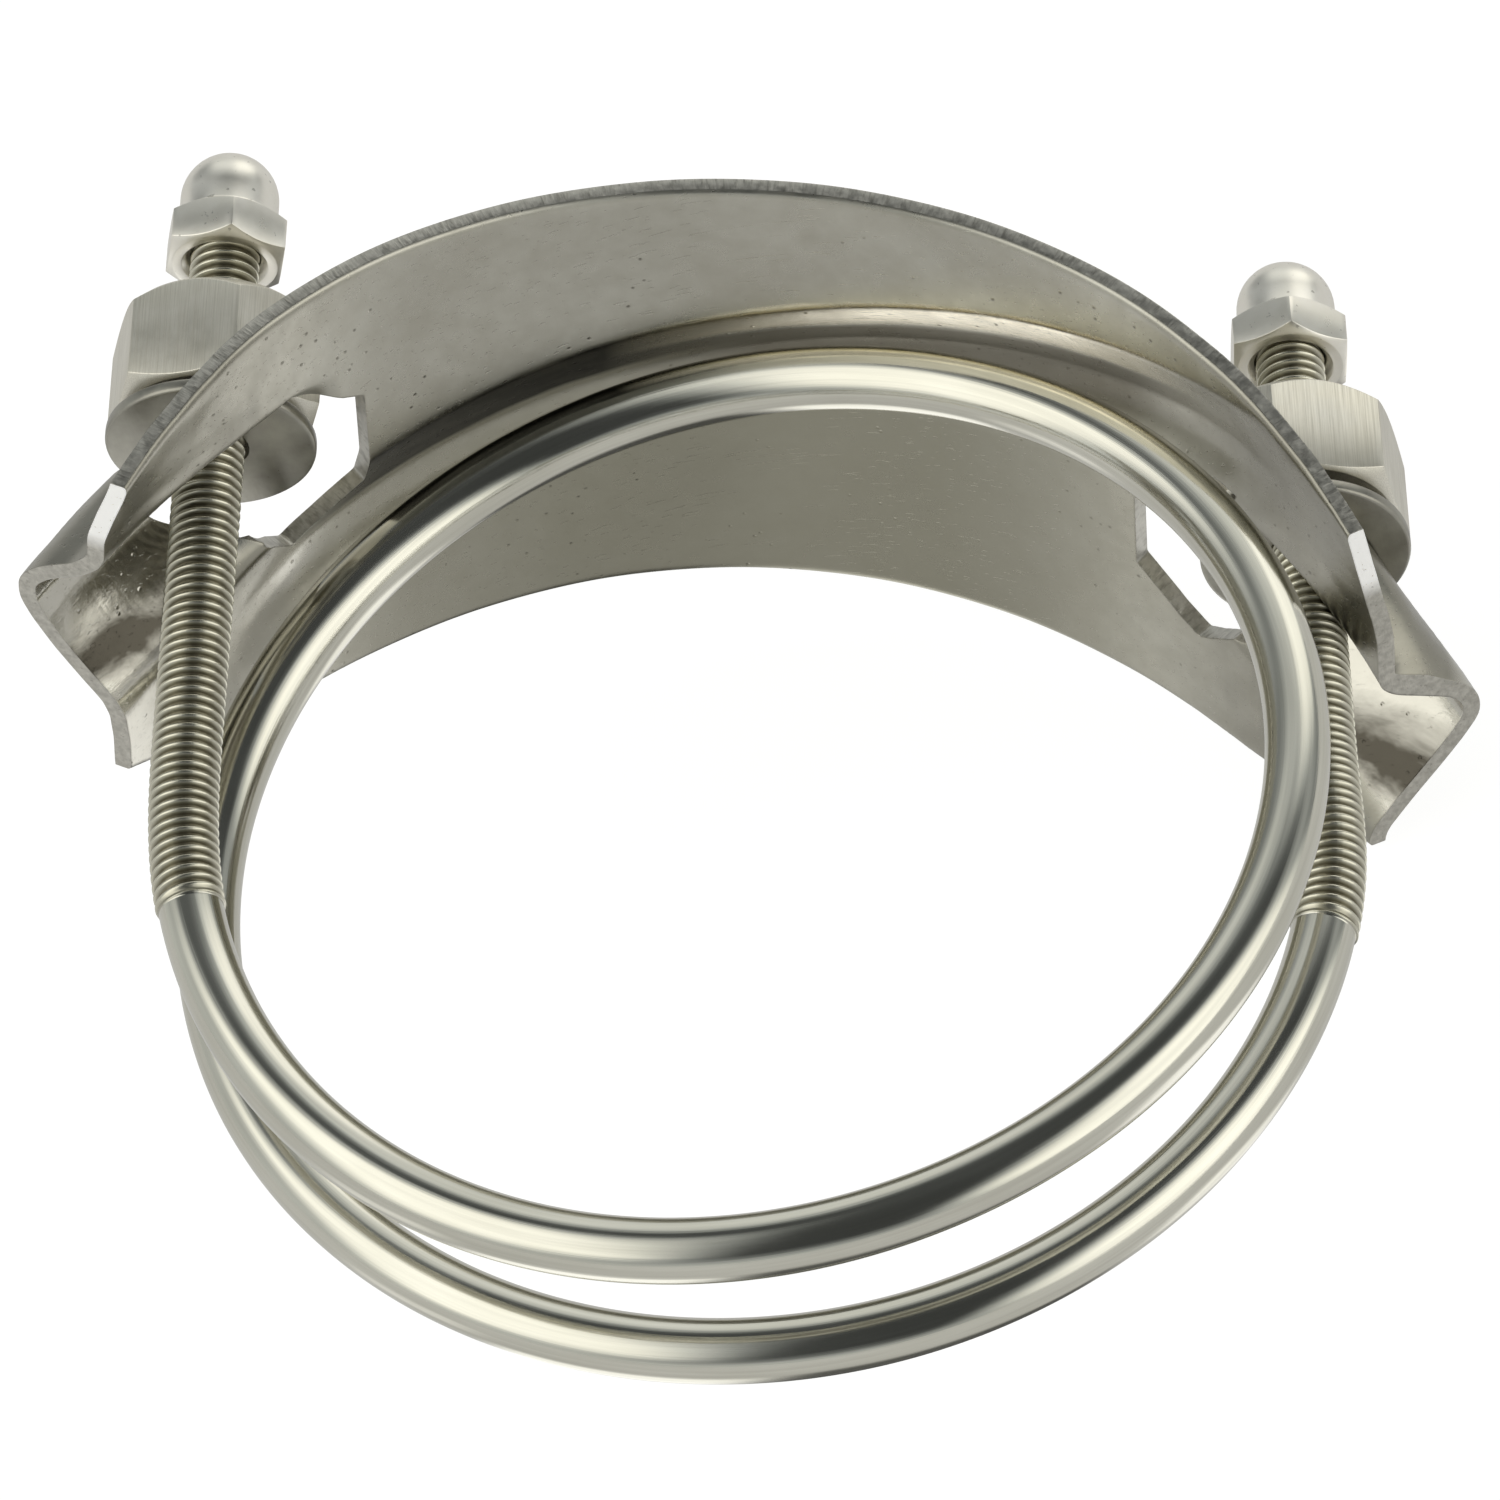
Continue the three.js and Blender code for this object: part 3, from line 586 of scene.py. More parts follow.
def outer_radius(angle, z, radius):
    """the outer face: the envelope of balls of the sheet's thickness on the inner face"""
    outer = np.full_like(radius, -1e9)
    rows, columns = radius.shape
    for i in range(-4, 5):
        for j in range(-9, 10):
            here = (slice(max(0, -i), min(rows, rows - i)),
                    slice(max(0, -j), min(columns, columns - j)))
            there = (slice(here[0].start + i, here[0].stop + i),
                     slice(here[1].start + j, here[1].stop + j))
            x_gap = BEND_R * (angle[there] - angle[here])
            z_gap = z[there] - z[here]
            left = SHEET ** 2 - x_gap ** 2 - z_gap ** 2
            reach = np.where(left >= 0, radius[there] + np.sqrt(np.maximum(left, 0)), -1e9)
            outer[here] = np.maximum(outer[here], reach)
    return outer


def make_blank():
    """the pressed sheet before its windows are cut"""
    middle = np.linspace(0.025, 0.975, COLUMNS + 1 - 2 * len(RIM_COLUMNS))
    along = np.concatenate([RIM_COLUMNS, middle, 1 - RIM_COLUMNS[::-1]])
    rows = [saddle_row(across, along) for across in np.linspace(-1, 1, ROWS + 1)]
    angle, z, radius = (np.array(part) for part in zip(*rows))
    radius = radius + pressing_waves(angle, z)
    outer_r = outer_radius(angle, z, radius)
    # shearing rolls the inner edge over
    to_rim = np.minimum(np.abs(z - z[:, -1:]), np.abs(z - z[:, :1]))
    radius = radius + 0.55 * (1 - np.sqrt(np.clip(1 - (1 - np.clip(to_rim / 1.25, 0, 1)) ** 2, 0, 1)))
    verts = np.concatenate([bent(r, angle, z).reshape(-1, 3) for r in (radius, outer_r)])

    row = COLUMNS + 1                             # index step to the next row
    face = (ROWS + 1) * row                       # index step to the outer face
    i, j = np.meshgrid(np.arange(ROWS), np.arange(COLUMNS), indexing="ij")
    a = (i * row + j).ravel()
    far = np.arange(ROWS) * row
    near = far + COLUMNS
    left = np.arange(COLUMNS)
    right = left + ROWS * row
    corners = [
        (a, a + row, a + row + 1, a + 1),
        (a + face, a + 1 + face, a + row + 1 + face, a + row + face),
        (far, far + face, far + row + face, far + row),
        (near, near + row, near + row + face, near + face),
        (left, left + 1, left + 1 + face, left + face),
        (right, right + face, right + 1 + face, right + 1)]
    sheet = make("saddle_surface", posed(verts),
                 np.concatenate([np.stack(quad, -1) for quad in corners]))
    slots = np.repeat([SHEET_SLOT, RIM_SLOT, CUT_SLOT], [2 * len(a), 2 * ROWS, 2 * COLUMNS])
    return sheet, slots.astype(np.int32)


def prism(first, second):
    """a solid between two matching outlines"""
    count = len(first)
    bm = bmesh.new()
    verts = [bm.verts.new(p) for p in to_row(posed(np.concatenate([first, second])))]
    bm.faces.new(verts[:count])
    bm.faces.new(verts[count:])
    for i in range(count):
        j = (i + 1) % count
        bm.faces.new([verts[i], verts[j], verts[count + j], verts[count + i]])
    bmesh.ops.recalc_face_normals(bm, faces=bm.faces[:])
    return bm


def cutter(bm, name, mats, slot):
    bmesh.ops.triangulate(bm, faces=bm.faces[:])
    mesh = bpy.data.meshes.new(name)
    bm.to_mesh(mesh)
    bm.free()
    for mat in mats:
        mesh.materials.append(mat)
    mesh.polygons.foreach_set("material_index", np.full(len(mesh.polygons), slot, np.int32))
    return add_object(name, mesh)


def eased_outline(corners, radius=0.8):
    """the outline with each corner replaced by a short parabola"""
    points = []
    for i, corner in enumerate(corners):
        before, after = corners[i - 1] - corner, corners[(i + 1) % len(corners)] - corner
        to_before, to_after = unit(before), unit(after)
        bend = math.acos(np.clip(to_before @ to_after, -1, 1))
        cut = min(radius / math.tan(bend / 2),
                  0.35 * np.linalg.norm(before), 0.35 * np.linalg.norm(after))
        for t in np.linspace(0, 1, 6):
            points.append((1 - t) ** 2 * (corner + to_before * cut) + 2 * t * (1 - t) * corner
                          + t * t * (corner + to_after * cut))
    return np.array(points)


def window_cutter(side, mats):
    """the punched window, corners eased"""
    corners = np.array([[math.radians(degrees) * BEND_R, z] for degrees, z in WINDOW[side]])
    x, z = eased_outline(corners).T
    bm = prism(bent(CUT_IN, x / BEND_R, z), bent(CUT_OUT, x / BEND_R, z))
    return cutter(bm, f"window_{side}", mats, RIM_SLOT)


def seat_cutter(side, mats):
    """the open end of the stud channel, squared off under the washer"""
    angles = 0.79 + 0.3 * np.arange(9) / 8
    angle = np.concatenate([angles, angles[::-1]]) * (-1 if side == "left" else 1)
    radius = np.repeat([BEND_R - 4, CUT_OUT], 9)
    bm = prism(*(bent(radius, angle, z) for z in CHANNEL[side]))
    bmesh.ops.bisect_plane(bm, geom=bm.verts[:] + bm.edges[:] + bm.faces[:],
                           plane_co=Vector(to_row(stud_point(side, SEAT[side]))),
                           plane_no=Vector(stud_axis(side)), clear_inner=True)
    bmesh.ops.holes_fill(bm, edges=[e for e in bm.edges if e.is_boundary], sides=0)
    bmesh.ops.recalc_face_normals(bm, faces=bm.faces[:])
    return cutter(bm, f"seat_{side}", mats, CUT_SLOT)


def keep_largest(ob):
    """drop the loose scraps the cutters leave"""
    bm = bmesh.new()
    bm.from_mesh(ob.data)
    seen, islands = set(), []
    for start in bm.verts:
        if start in seen:
            continue
        seen.add(start)
        island = [start]
        for vert in island:                       # grows as it is walked
            for edge in vert.link_edges:
                other = edge.other_vert(vert)
                if other not in seen:
                    seen.add(other)
                    island.append(other)
        islands.append(island)
    islands.sort(key=len, reverse=True)
    for island in islands[1:]:
        bmesh.ops.delete(bm, geom=island, context="VERTS")
    bm.to_mesh(ob.data)
    bm.free()


def store_saddle_fields(mesh):
    """how far each place was drawn up by the press, and its place on the sheet"""
    x, y, z = ((hose_points(mesh) - POSE[:3, 3]) @ POSE[:3, :3]).T
    radius, angle = np.hypot(x, y), np.arctan2(x, y)
    lift = radius - BEND_R - flare(angle)
    beyond = np.where(angle < 0, smooth((12 - z) / 3), smooth((-12 - z) / 3))
    store(mesh, "drawn", smooth((lift - 1.8) / 1.5) * smooth((np.abs(angle) - 0.66) / 0.12) * beyond)
    # distance from the groove's middle on the inner face, 40 elsewhere
    offset = from_groove(angle, z)
    deep = np.interp(offset, [-GROOVE["half"], -3, 3.2, 9], [0, 2.6, 2.3, 0])
    inner = (lift < deep + 1.0) & (np.abs(angle) < 0.8)
    store(mesh, "groove", np.where(inner, np.clip(offset, -30, 30), 40.0))
    store(mesh, "inside", inner * (1 - smooth((np.abs(angle) - 0.58) / 0.2)))
    store(mesh, "flat", np.stack([angle * BEND_R, z, radius], -1))


def make_saddle(mats):
    sheet, slots = make_blank()
    for mat in mats:
        sheet.data.materials.append(mat)
    sheet.data.polygons.foreach_set("material_index", slots)
    cutters = [build(side, mats) for side in SIDES for build in (window_cutter, seat_cutter)]
    for tool in cutters:
        cut = sheet.modifiers.new(tool.name, "BOOLEAN")
        cut.operation, cut.object, cut.solver = "DIFFERENCE", tool, "MANIFOLD"
    apply_modifiers(sheet)
    for tool in cutters:
        mesh = tool.data
        bpy.data.objects.remove(tool)
        bpy.data.meshes.remove(mesh)
    keep_largest(sheet)
    shade(sheet, 38)
    store_saddle_fields(sheet.data)
    return sheet


# ------------------------------------------------------------------ shader nodes
def rgba(code):
    """linear colour from an sRGB hex code"""
    parts = [int(code[i:i + 2], 16) / 255 for i in (0, 2, 4)]
    return (*((v / 12.92) if v < 0.04045 else ((v + 0.055) / 1.055) ** 2.4 for v in parts), 1)


class Net:
    """builds the nodes of a material or a world; hex codes may stand for colours"""

    def __init__(self, owner):
        self.owner = owner
        owner.use_nodes = True
        self.tree = owner.node_tree

    def add(self, kind, **settings):
        node = self.tree.nodes.new(kind)
        for name, value in settings.items():
            setattr(node, name, value)
        return node

    def put(self, socket, value):
        if hasattr(value, "is_output"):
            self.tree.links.new(value, socket)
        else:
            socket.default_value = rgba(value) if isinstance(value, str) else value

    def attribute(self, name, output="Fac"):
        return self.add("ShaderNodeAttribute", attribute_name=name).outputs[output]

    def coord(self, source, scale):
        """mm times scale: a stored attribute, or for None the place in the row frame"""
        if source:
            place, unit_scale = self.attribute(source, "Vector"), 1.0
        else:
            place, unit_scale = self.add("ShaderNodeTexCoord").outputs["Object"], 1000.0
        mapping = self.add("ShaderNodeMapping")
        scale = scale if isinstance(scale, tuple) else (scale,) * 3
        mapping.inputs["Scale"].default_value = [unit_scale * s for s in scale]
        self.put(mapping.inputs["Vector"], place)
        return mapping.outputs["Vector"]

    def noise(self, source, scale, detail=3.0, rough=0.5, distort=0.0):
        node = self.add("ShaderNodeTexNoise")
        values = dict(Vector=self.coord(source, scale), Scale=1.0, Detail=detail,
                      Roughness=rough, Distortion=distort)
        for name, value in values.items():
            self.put(node.inputs[name], value)
        return node.outputs["Fac"]

    def split(self, source):
        node = self.add("ShaderNodeSeparateXYZ")
        self.put(node.inputs[0], self.attribute(source, "Vector"))
        return node.outputs

    def span(self, value, limits, to=(0.0, 1.0), curve="LINEAR"):
        """carries the limits onto the range to, held flat outside"""
        node = self.add("ShaderNodeMapRange", interpolation_type=curve)
        self.put(node.inputs["Value"], value)
        for name, number in zip(("From Min", "From Max", "To Min", "To Max"), (*limits, *to)):
            node.inputs[name].default_value = number
        return node.outputs["Result"]

    def math(self, op, a, b=0.0):
        node = self.add("ShaderNodeMath", operation=op)
        self.put(node.inputs[0], a)
        self.put(node.inputs[1], b)
        return node.outputs[0]

    def plus(self, a, b):
        return self.math("ADD", a, b)

    def minus(self, a, b):
        return self.math("SUBTRACT", a, b)

    def times(self, product, *factors):
        for factor in factors:
            product = self.math("MULTIPLY", product, factor)
        return product

    def between(self, value, rise, fall):
        """1 between the two ramps, 0 outside them"""
        return self.times(self.span(value, rise), self.span(value, fall, to=(1, 0)))

    def mix(self, fac, a, b):
        node = self.add("ShaderNodeMix", data_type="RGBA")
        for socket, value in ((node.inputs["Factor"], fac), (node.inputs[6], a), (node.inputs[7], b)):
            self.put(socket, value)
        return node.outputs[2]

    def mix_value(self, fac, a, b):
        node = self.add("ShaderNodeMix", data_type="FLOAT")
        for socket, value in ((node.inputs["Factor"], fac), (node.inputs[2], a), (node.inputs[3], b)):
            self.put(socket, value)
        return node.outputs[0]

    def bump(self, height, depth, strength, normal=None):
        """depth in mm"""
        node = self.add("ShaderNodeBump")
        self.put(node.inputs["Height"], height)
        node.inputs["Distance"].default_value = depth / 1000
        node.inputs["Strength"].default_value = strength
        if normal is not None:
            self.put(node.inputs["Normal"], normal)
        return node.outputs["Normal"]

    def bevel(self, radius):
        """radius in mm"""
        node = self.add("ShaderNodeBevel", samples=4)
        node.inputs["Radius"].default_value = radius / 1000
        return node.outputs["Normal"]

    def surface(self, values):
        for name, value in values.items():
            self.put(self.tree.nodes["Principled BSDF"].inputs[name], value)
        return self.owner

    def metal(self, color, rough, normal):
        return self.surface({"Metallic": 1.0, "Base Color": color, "Roughness": rough,
                             "Normal": normal})

    def dot(self, vector, axis):
        node = self.add("ShaderNodeVectorMath", operation="DOT_PRODUCT")
        self.put(node.inputs[0], vector)
        node.inputs[1].default_value = tuple(axis)
        return node.outputs["Value"]

    def bearing(self, vector, sign=1):
        """degrees to the right of the camera and above it, for a direction"""
        x, y, z = (self.dot(vector, axis * sign) for axis in (cam_right, cam_up, cam_back))
        clamped = self.math("MINIMUM", self.math("MAXIMUM", z, -0.99999), 0.99999)
        angle = self.math("ARCCOSINE", clamped)
        scale = self.math("DIVIDE", self.times(angle, 57.2958), self.math("SINE", angle))
        return self.times(x, scale), self.times(y, scale)

    def window(self, value, limits, soft):
        rise, fall = (self.span(value, (at - soft, at + soft), curve="SMOOTHSTEP")
                      for at in limits)
        return self.times(rise, self.minus(1.0, fall))

    def panels(self, light, bearing, table):
        """lays soft-edged panels over a light strength, each over the ones before"""
        for strength, across, above, soft in table:
            mask = self.times(self.window(bearing[0], across, soft),
                              self.window(bearing[1], above, soft))
            light = self.mix_value(mask, light, strength)
        return light


def new_net(name):
    return Net(bpy.data.materials.new(name))


# ------------------------------------------------------------------ materials
def rod_material():
    net = new_net("rod_steel")
    streak = net.noise("rod_co", (0.02, 1.6, 1.6), detail=4, rough=0.55)
    fine = net.noise("rod_co", (0.06, 9, 9), rough=0.6)
    patch = net.noise("rod_co", (0.05, 0.25, 0.25))
    threaded = net.attribute("on_thread")
    crest = net.attribute("crest")
    root_noise = net.noise("rod_co", 0.5, detail=4, rough=0.6)
    plain = net.mix(net.span(patch, (0.35, 0.65)), "d7d5c8", "e1dfd3")
    plain = net.mix(net.span(streak, (0.3, 0.75), to=(0, 0.35)), plain, "aaa79e")
    # the thread's roots are darker and browner than its crests
    root = net.mix(net.span(root_noise, (0.35, 0.7)), "6b6655", "8b8673")
    thread = net.mix(net.span(crest, (0.25, 0.9)), root, "d3d0bf")
    rough_plain = net.plus(net.span(streak, (0.3, 0.7), to=(0.085, 0.15)),
                           net.span(patch, (0.3, 0.7), to=(-0.02, 0.04)))
    rough_thread = net.span(crest, (0.2, 0.95), to=(0.42, 0.26))
    normal = net.bump(fine, depth=0.012, strength=0.5)
    normal = net.bump(streak, depth=0.03, strength=0.5, normal=normal)
    return net.metal(net.mix(threaded, plain, thread),
                     net.mix_value(threaded, rough_plain, rough_thread), normal)


def painted_fold_reflections(net, across, along):
    """dark streaks painted on the drawn folds as reflections of the dark surroundings, at a different
    z on each side
    """
    wander = net.noise("flat", (0.12, 0.25, 0.1), detail=4, rough=0.6, distort=0.5)
    z = net.plus(along, net.span(wander, (0.3, 0.7), to=(-1.3, 1.3)))
    on_right = net.math("GREATER_THAN", across, 0.0)
    left = net.between(z, rise=(-5.0, -2.0), fall=(-0.5, 3.0))
    right = net.between(z, rise=(-30.5, -27.5), fall=(-24.5, -20.5))
    return net.plus(net.times(left, net.minus(1.0, on_right)), net.times(right, on_right))


def groove_painted_light(net, color, rough, across):
    """the pressed groove's painted light: painted shade as a dark band on its left half, and on its
    right a painted highlight along the lip with painted shade below it
    """
    offset = net.attribute("groove")
    inside = net.attribute("inside")
    wobble = net.noise("flat", (0.08, 0.3, 0.1), rough=0.6)
    offset = net.plus(offset, net.span(wobble, (0.3, 0.7), to=(-0.3, 0.3)))
    left = net.span(across, (-16, 2), to=(1, 0))
    right = net.minus(1.0, left)
    # painted shade: the dark band over the lip's left half stands in for a dark reflection
    painted_dark_band = net.times(net.between(offset, rise=(1.8, 2.8), fall=(9.5, 10.3)), inside)
    # painted shade in the trough on the right half, under the painted highlight
    painted_trough_shade = net.times(net.between(offset, rise=(-6, -3), fall=(4.0, 5.4)), inside)
    # painted highlight along the lip on the right half
    painted_highlight_band = net.times(net.between(offset, rise=(4.6, 5.8), fall=(9.8, 10.8)), inside, right)
    painted_dark_band = net.times(painted_dark_band, left, net.span(wobble, (0.3, 0.7), to=(0.98, 0.86)))
    color = net.mix(painted_dark_band, color, "1d1c19")
    color = net.mix(net.times(painted_trough_shade, right, 0.72), color, "5a5342")
    painted_highlight = net.times(painted_highlight_band, net.span(wobble, (0.3, 0.7), to=(1.0, 0.75)))
    return net.mix(painted_highlight, color, "fdf5e0"), net.minus(rough, net.times(painted_highlight_band, 0.1))


def sheet_material():
    net = new_net("saddle_sheet")
    cloud = net.noise(None, 0.045, detail=5, rough=0.6, distort=0.4)
    mottle = net.noise(None, 0.35, detail=4, rough=0.6)
    grain = net.noise(None, 6, detail=2)
    rolling = net.noise(None, (0.25, 0.25, 5), rough=0.6)
    cells = net.add("ShaderNodeTexVoronoi", feature="F1")
    net.put(cells.inputs["Vector"], net.coord(None, 0.55))
    cells.inputs["Scale"].default_value = 1.0
    pit = net.span(cells.outputs["Distance"], (0.05, 0.16), to=(1.0, 0.0))
    pit = net.times(pit, net.math("GREATER_THAN", net.noise(None, 0.09, detail=2), 0.53))
    scratch = net.noise(None, (0.06, 2.2, 2.6), detail=2, rough=0.4, distort=0.15)
    scratch = net.span(scratch, (0.66, 0.70))
    color = net.mix(net.span(cloud, (0.35, 0.68)), "b8b5a9", "c9c7bc")
    color = net.mix(net.span(mottle, (0.4, 0.75), to=(0, 0.2)), color, "a39e8f")
    color = net.mix(net.times(pit, 0.55), color, "5b564d")
    rough = net.plus(net.span(cloud, (0.3, 0.7), to=(0.25, 0.34)),
                     net.span(mottle, (0.3, 0.7), to=(-0.03, 0.05)))
    rough = net.minus(rough, net.times(scratch, 0.08))

    # the far half is darkened as painted shade; the drawn folds are burnished and orange-peeled, and
    # carry dark streaks painted as reflections
    drawn = net.attribute("drawn")
    across, along, _ = net.split("flat")
    # painted shade: darker towards the far rim, most near the middle
    painted_far_shade = net.times(net.span(along, (-4, 6), to=(1, 0)),
                     net.span(net.math("ABSOLUTE", across), (22, 62), to=(1, 0.2)))
    color = net.mix(net.times(painted_far_shade, 0.75), color, "94917f")
    streak = painted_fold_reflections(net, across, along)
    tip = net.times(net.span(net.math("ABSOLUTE", across), (48, 66)), net.minus(1.0, drawn))
    color = net.mix(net.times(tip, 0.6), color, "89867b")
    color = net.mix(net.times(drawn, 0.55), color, "dcd9d0")
    # painted reflection: dark streaks on the drawn folds
    color = net.mix(net.times(drawn, net.times(streak, 0.93)), color, "39342a")
    rough = net.minus(rough, net.times(drawn, 0.14))
    color, rough = groove_painted_light(net, color, rough, across)

    peel = net.noise("flat", (1.1, 1.4, 1.1), detail=2)
    ripple = net.noise("flat", (1.5, 0.12, 0.1), detail=2, distort=0.3)
    marks = net.plus(net.times(pit, -1.0), net.times(scratch, -0.25))
    normal = net.bevel(0.35)
    for height, depth, strength in (
            (net.times(peel, drawn), 0.02, 0.6), (net.times(ripple, drawn), 0.05, 0.6),
            (grain, 0.010, 0.5), (rolling, 0.010, 0.4), (mottle, 0.06, 0.3), (marks, 0.06, 0.7)):
        normal = net.bump(height, depth, strength, normal)
    return net.metal(color, rough, normal)


def cut_material():
    net = new_net("saddle_cut_edge")
    mottle = net.noise(None, 1.2, detail=4, rough=0.6)
    line = net.noise(None, (5, 5, 1.2), rough=0.6)
    pit = net.span(net.noise(None, 2.2, detail=2), (0.64, 0.72))
    # the ends of the near strip are cut bright, and are painted near white and made to glow faintly as
    # painted light; the rest of the end is duller
    across, along, _ = net.split("flat")
    start = net.minus(23.5, net.times(net.math("GREATER_THAN", across, 0.0), 15.5))
    near = net.span(net.minus(along, start), (-1.5, 1.5))
    color = net.mix(net.span(mottle, (0.35, 0.7)), "aeaba2", "cfccc3")
    color = net.mix(near, color, "fbfaf7")
    color = net.mix(net.times(pit, 0.6), color, "8a857b")
    normal = net.bump(line, depth=0.05, strength=0.6, normal=net.bevel(0.3))
    normal = net.bump(pit, depth=0.05, strength=-0.5, normal=normal)
    net.metal(color, net.span(mottle, (0.3, 0.7), to=(0.38, 0.52)), normal)
    # painted light: the near ends glow faintly and are made less metallic
    return net.surface({"Metallic": net.span(near, (0, 1), to=(0.75, 0.15)),
                        "Emission Color": (1, 1, 0.98, 1),
                        "Emission Strength": net.span(near, (0, 1), to=(0.0, 0.16))})


def rim_material():
    net = new_net("saddle_sheared_rim")
    mottle = net.noise(None, 0.9, detail=4, rough=0.6)
    line = net.noise("flat", (2.6, 0.6, 0.5), rough=0.6)
    color = net.mix(net.span(mottle, (0.35, 0.7)), "b4b2aa", "d2d0c8")
    color = net.mix(net.span(line, (0.5, 0.7), to=(0, 0.6)), color, "7f7c74")
    return net.metal(color, net.span(mottle, (0.3, 0.7), to=(0.34, 0.5)),
                     net.bump(line, depth=0.10, strength=0.7, normal=net.bevel(0.2)))


def nut_material():
    net = new_net("nut_steel")
    # milled grain runs along the stud on the flats
    grain = net.noise("own", (7, 0.10, 7), rough=0.6)
    broad = net.noise("own", (0.9, 0.05, 0.9), detail=2)
    cloud = net.noise("own", 0.16, detail=4, rough=0.6)
    color = net.mix(net.span(cloud, (0.35, 0.68)), "dfdbcd", "eae7dc")
    color = net.mix(net.span(grain, (0.4, 0.75), to=(0, 0.42)), color, "a39e8f")
    rough = net.plus(net.span(cloud, (0.3, 0.7), to=(0.32, 0.42)),
                     net.span(grain, (0.3, 0.7), to=(-0.03, 0.06)))
    normal = net.bump(grain, depth=0.030, strength=0.6)
    return net.metal(color, rough, net.bump(broad, depth=0.04, strength=0.3, normal=normal))


def acorn_material():
    net = new_net("acorn_steel")
    cloud = net.noise("own", 0.22, detail=4, rough=0.6)
    grain = net.noise("own", (5, 1.4, 5), rough=0.6)
    dot = net.span(net.noise("own", 1.3, detail=2), (0.68, 0.74))
    color = net.mix(net.span(cloud, (0.35, 0.68)), "f1ede1", "f8f5ec")
    color = net.mix(net.times(dot, 0.45), color, "6f6a60")
    normal = net.bump(grain, depth=0.012, strength=0.5)
    return net.metal(color, net.span(cloud, (0.3, 0.7), to=(0.27, 0.37)),
                     net.bump(dot, depth=0.04, strength=-0.5, normal=normal))


def washer_material():
    net = new_net("washer_steel")
    cloud = net.noise("own", 0.2, detail=4, rough=0.6)
    grain = net.noise("own", (2.6, 2.6, 0.5), rough=0.6)
    rough = net.plus(net.span(cloud, (0.3, 0.7), to=(0.28, 0.38)),
                     net.span(grain, (0.3, 0.7), to=(-0.03, 0.05)))
    return net.metal(net.mix(net.span(cloud, (0.35, 0.68)), "96938a", "aaa89d"), rough,
                     net.bump(grain, depth=0.02, strength=0.5))


# ------------------------------------------------------------------ build
def hand_over(ob, body, node):
    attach(ob, body)
    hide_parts(node)


rod = make_rod()
rod.data.materials.append(rod_material())
hand_over(rod, "ring", "clamp_rod")
hand_over(make_saddle([sheet_material(), cut_material(), rim_material()]),
          "saddle", "saddle")

nut_steel, acorn_steel, washer_steel = nut_material(), acorn_material(), washer_material()
for side in SIDES:
    for build, slot, node, mat in ((make_washer, "washer", "washer", washer_steel),
                                   (make_nut, "nut", "hex_nut", nut_steel),
                                   (make_acorn, "acorn", "acorn_nut", acorn_steel)):
        ob = build(side)
        ob.data.materials.append(mat)
        hand_over(ob, f"{slot}_{side}", f"{node}_{side}")

# ------------------------------------------------------------------ camera
AZIMUTH, ELEVATION, ROLL = (math.radians(d) for d in (14.584, 52.798, -18.492))
DISTANCE = 2.024                                  # metres
TARGET = Vector(to_row([-0.2585, 11.570, 0.0]))
cam_back = Vector((math.sin(AZIMUTH) * math.cos(ELEVATION),
                   -math.cos(AZIMUTH) * math.cos(ELEVATION), math.sin(ELEVATION)))
level = (-cam_back).cross(Vector((0, 0, 1))).normalized()
upright = level.cross(-cam_back)
cam_right = math.cos(ROLL) * level + math.sin(ROLL) * upright
cam_up = -math.sin(ROLL) * level + math.cos(ROLL) * upright
lens = bpy.data.cameras.new("camera")
lens.sensor_width, lens.lens = 36.0, 433.2
lens.clip_start, lens.clip_end = 0.05, 50.0
camera = add_object("camera", lens)
camera.matrix_world = Matrix((*((cam_right[i], cam_up[i], cam_back[i], 0) for i in range(3)),
                              (0, 0, 0, 1)))
camera.location = TARGET + cam_back * DISTANCE
bpy.context.scene.camera = camera

# ------------------------------------------------------------------ light, floor, studio
# a faint overhead light, hidden from reflections
lamp = bpy.data.lights.new("overhead", "AREA")
lamp.shape = "RECTANGLE"
lamp.size, lamp.size_y, lamp.energy = 1.4, 1.4, 6.0
overhead = add_object("overhead", lamp)
overhead.location = (0.0, 0.1, 1.6)
overhead.rotation_mode = "QUATERNION"
overhead.rotation_quaternion = (-Vector((0.0, 0.1, 1.6))).to_track_quat("-Z", "Y")
overhead.visible_glossy = False

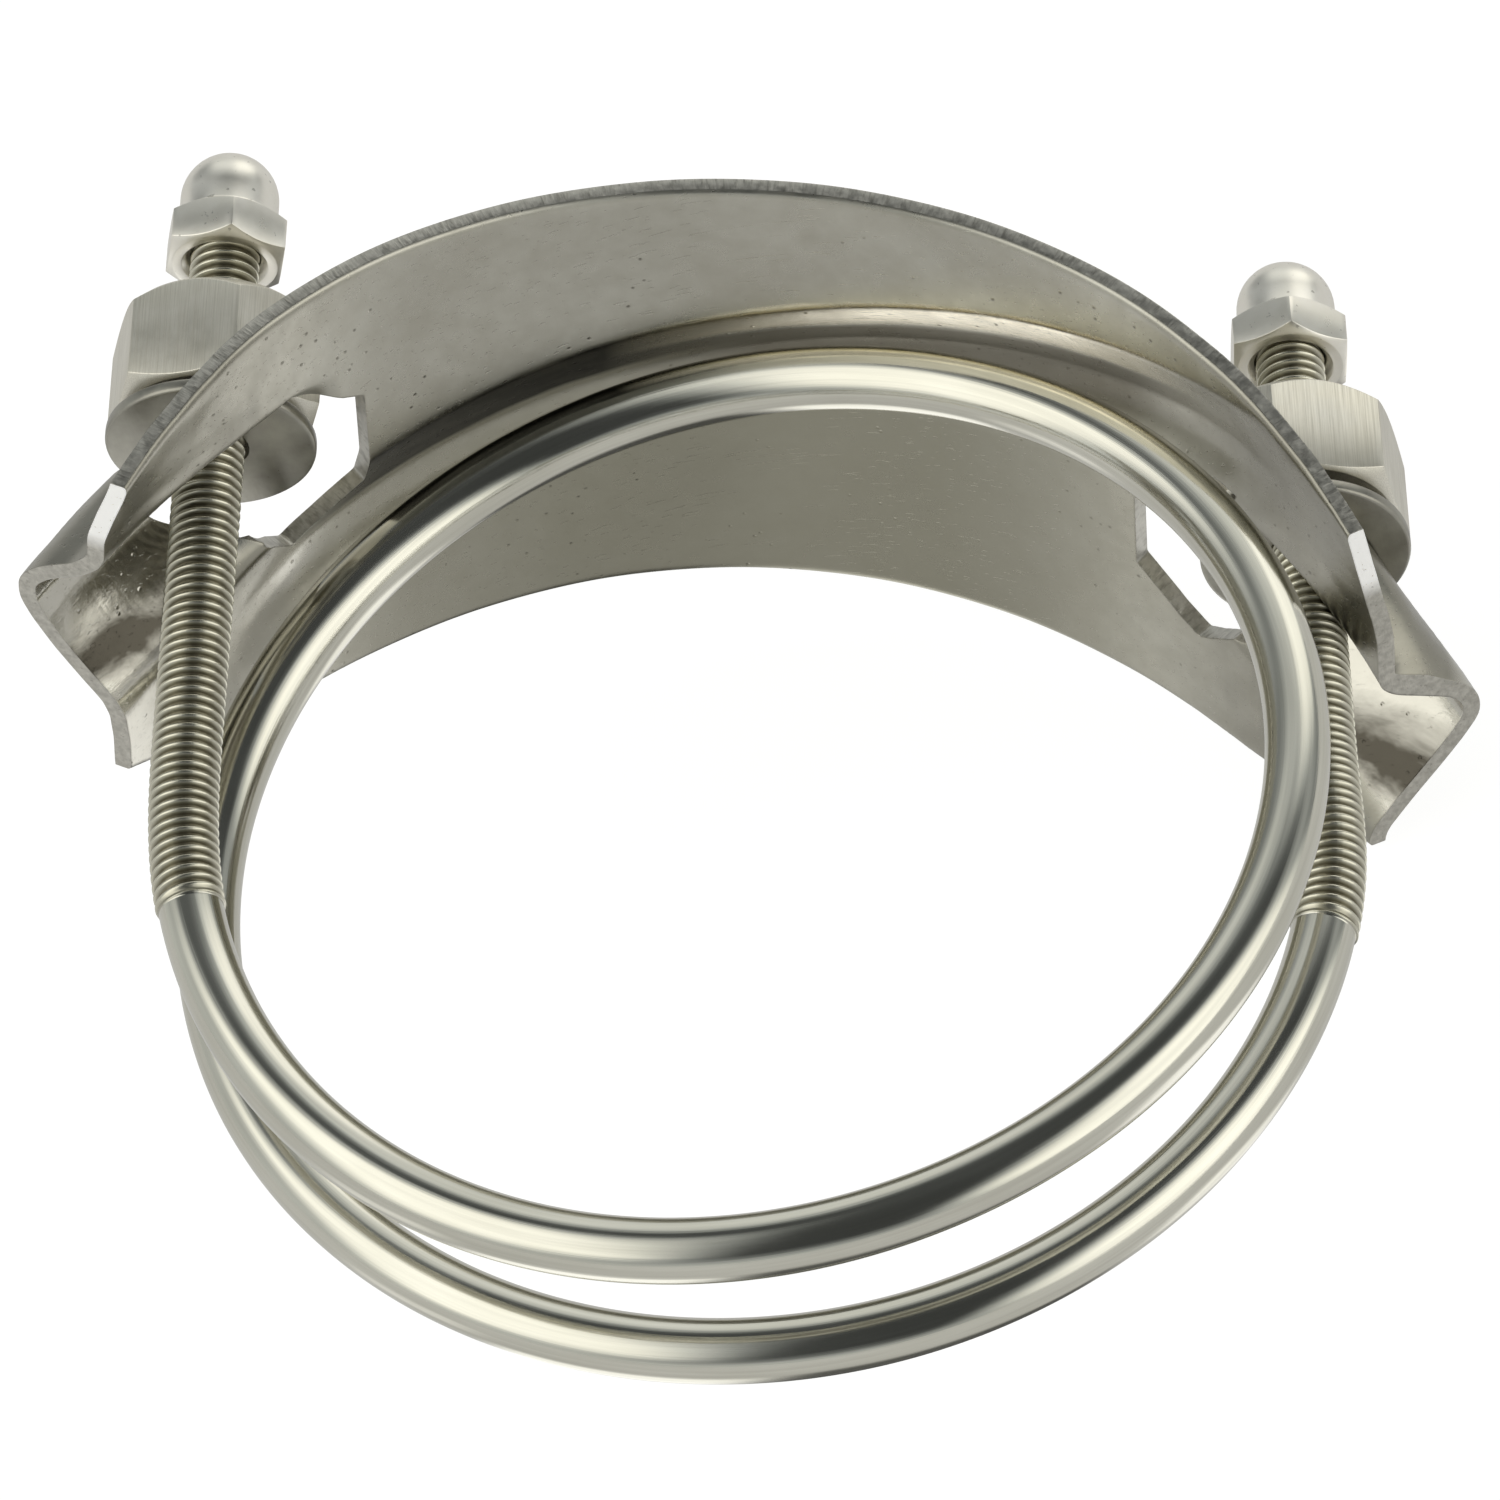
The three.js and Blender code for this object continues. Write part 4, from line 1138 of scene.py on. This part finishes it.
# Panels: strength, then degrees right of the camera, degrees above it, and edge softness
FLOOR_GLOW, FLOOR_SEEN = 0.47, 0.92               # as the metal sees it, and as the camera does
FLOOR_PANELS = [
    (0.0, (5, 88), (-175, -110), 9),
    (1.25, (-62, -3), (-165, -116), 8),
    (1.1, (90, 132), (-95, -48), 9),
    (0.8, (-100, -68), (-100, -75), 8),
]
# a grey tent, a soft panel each side of the camera and the dark gap between them
TENT, PANEL, GAP = 0.60, 1.46, 0.06
STUDIO_PANELS = [
    (GAP, (-30, 30), (-42, 68), 15),
    (GAP * 1.2, (-60, 52), (26, 68), 14),
    (0.27, (60, 150), (28, 95), 22),
    (0.25, (-140, -50), (50, 110), 22),
    (0.84, (-45, 60), (81, 112), 12),
    (1.3, (14, 66), (74, 112), 10),
    (PANEL, (-72, -22), (-33, 44), 13),
    (PANEL, (30, 84), (-36, 36), 13),
]


def floor_material():
    net = new_net("floor_pale")
    seen = net.add("ShaderNodeLightPath").outputs["Is Camera Ray"]
    toward = net.add("ShaderNodeNewGeometry").outputs["Incoming"]
    glow = net.panels(FLOOR_GLOW, net.bearing(toward, sign=-1), FLOOR_PANELS)
    return net.surface({"Metallic": 0.0, "Roughness": 0.9, "Base Color": (0.16, 0.16, 0.16, 1),
                        "Emission Color": (1, 1, 0.99, 1),
                        "Emission Strength": net.mix_value(seen, glow, FLOOR_SEEN)})


def make_studio():
    world = bpy.data.worlds.new("studio")
    bpy.context.scene.world = world
    net = Net(world)
    direction = net.add("ShaderNodeTexCoord").outputs["Generated"]
    light = net.panels(TENT, net.bearing(direction), STUDIO_PANELS)
    cool, warm = (0.92, 0.98, 1.0, 1), (1.0, 0.995, 0.945, 1)
    background = net.tree.nodes["Background"]
    net.put(background.inputs["Color"], net.mix(net.span(light, (0.1, 1.2)), cool, warm))
    net.put(background.inputs["Strength"], light)


bpy.ops.mesh.primitive_plane_add(size=12, location=(0, 0, cad_box[0].z - 0.0006))
floor = bpy.context.object
floor.name = "floor"
floor.data.materials.append(floor_material())
make_studio()
bpy.context.scene.view_settings.view_transform = "Standard"
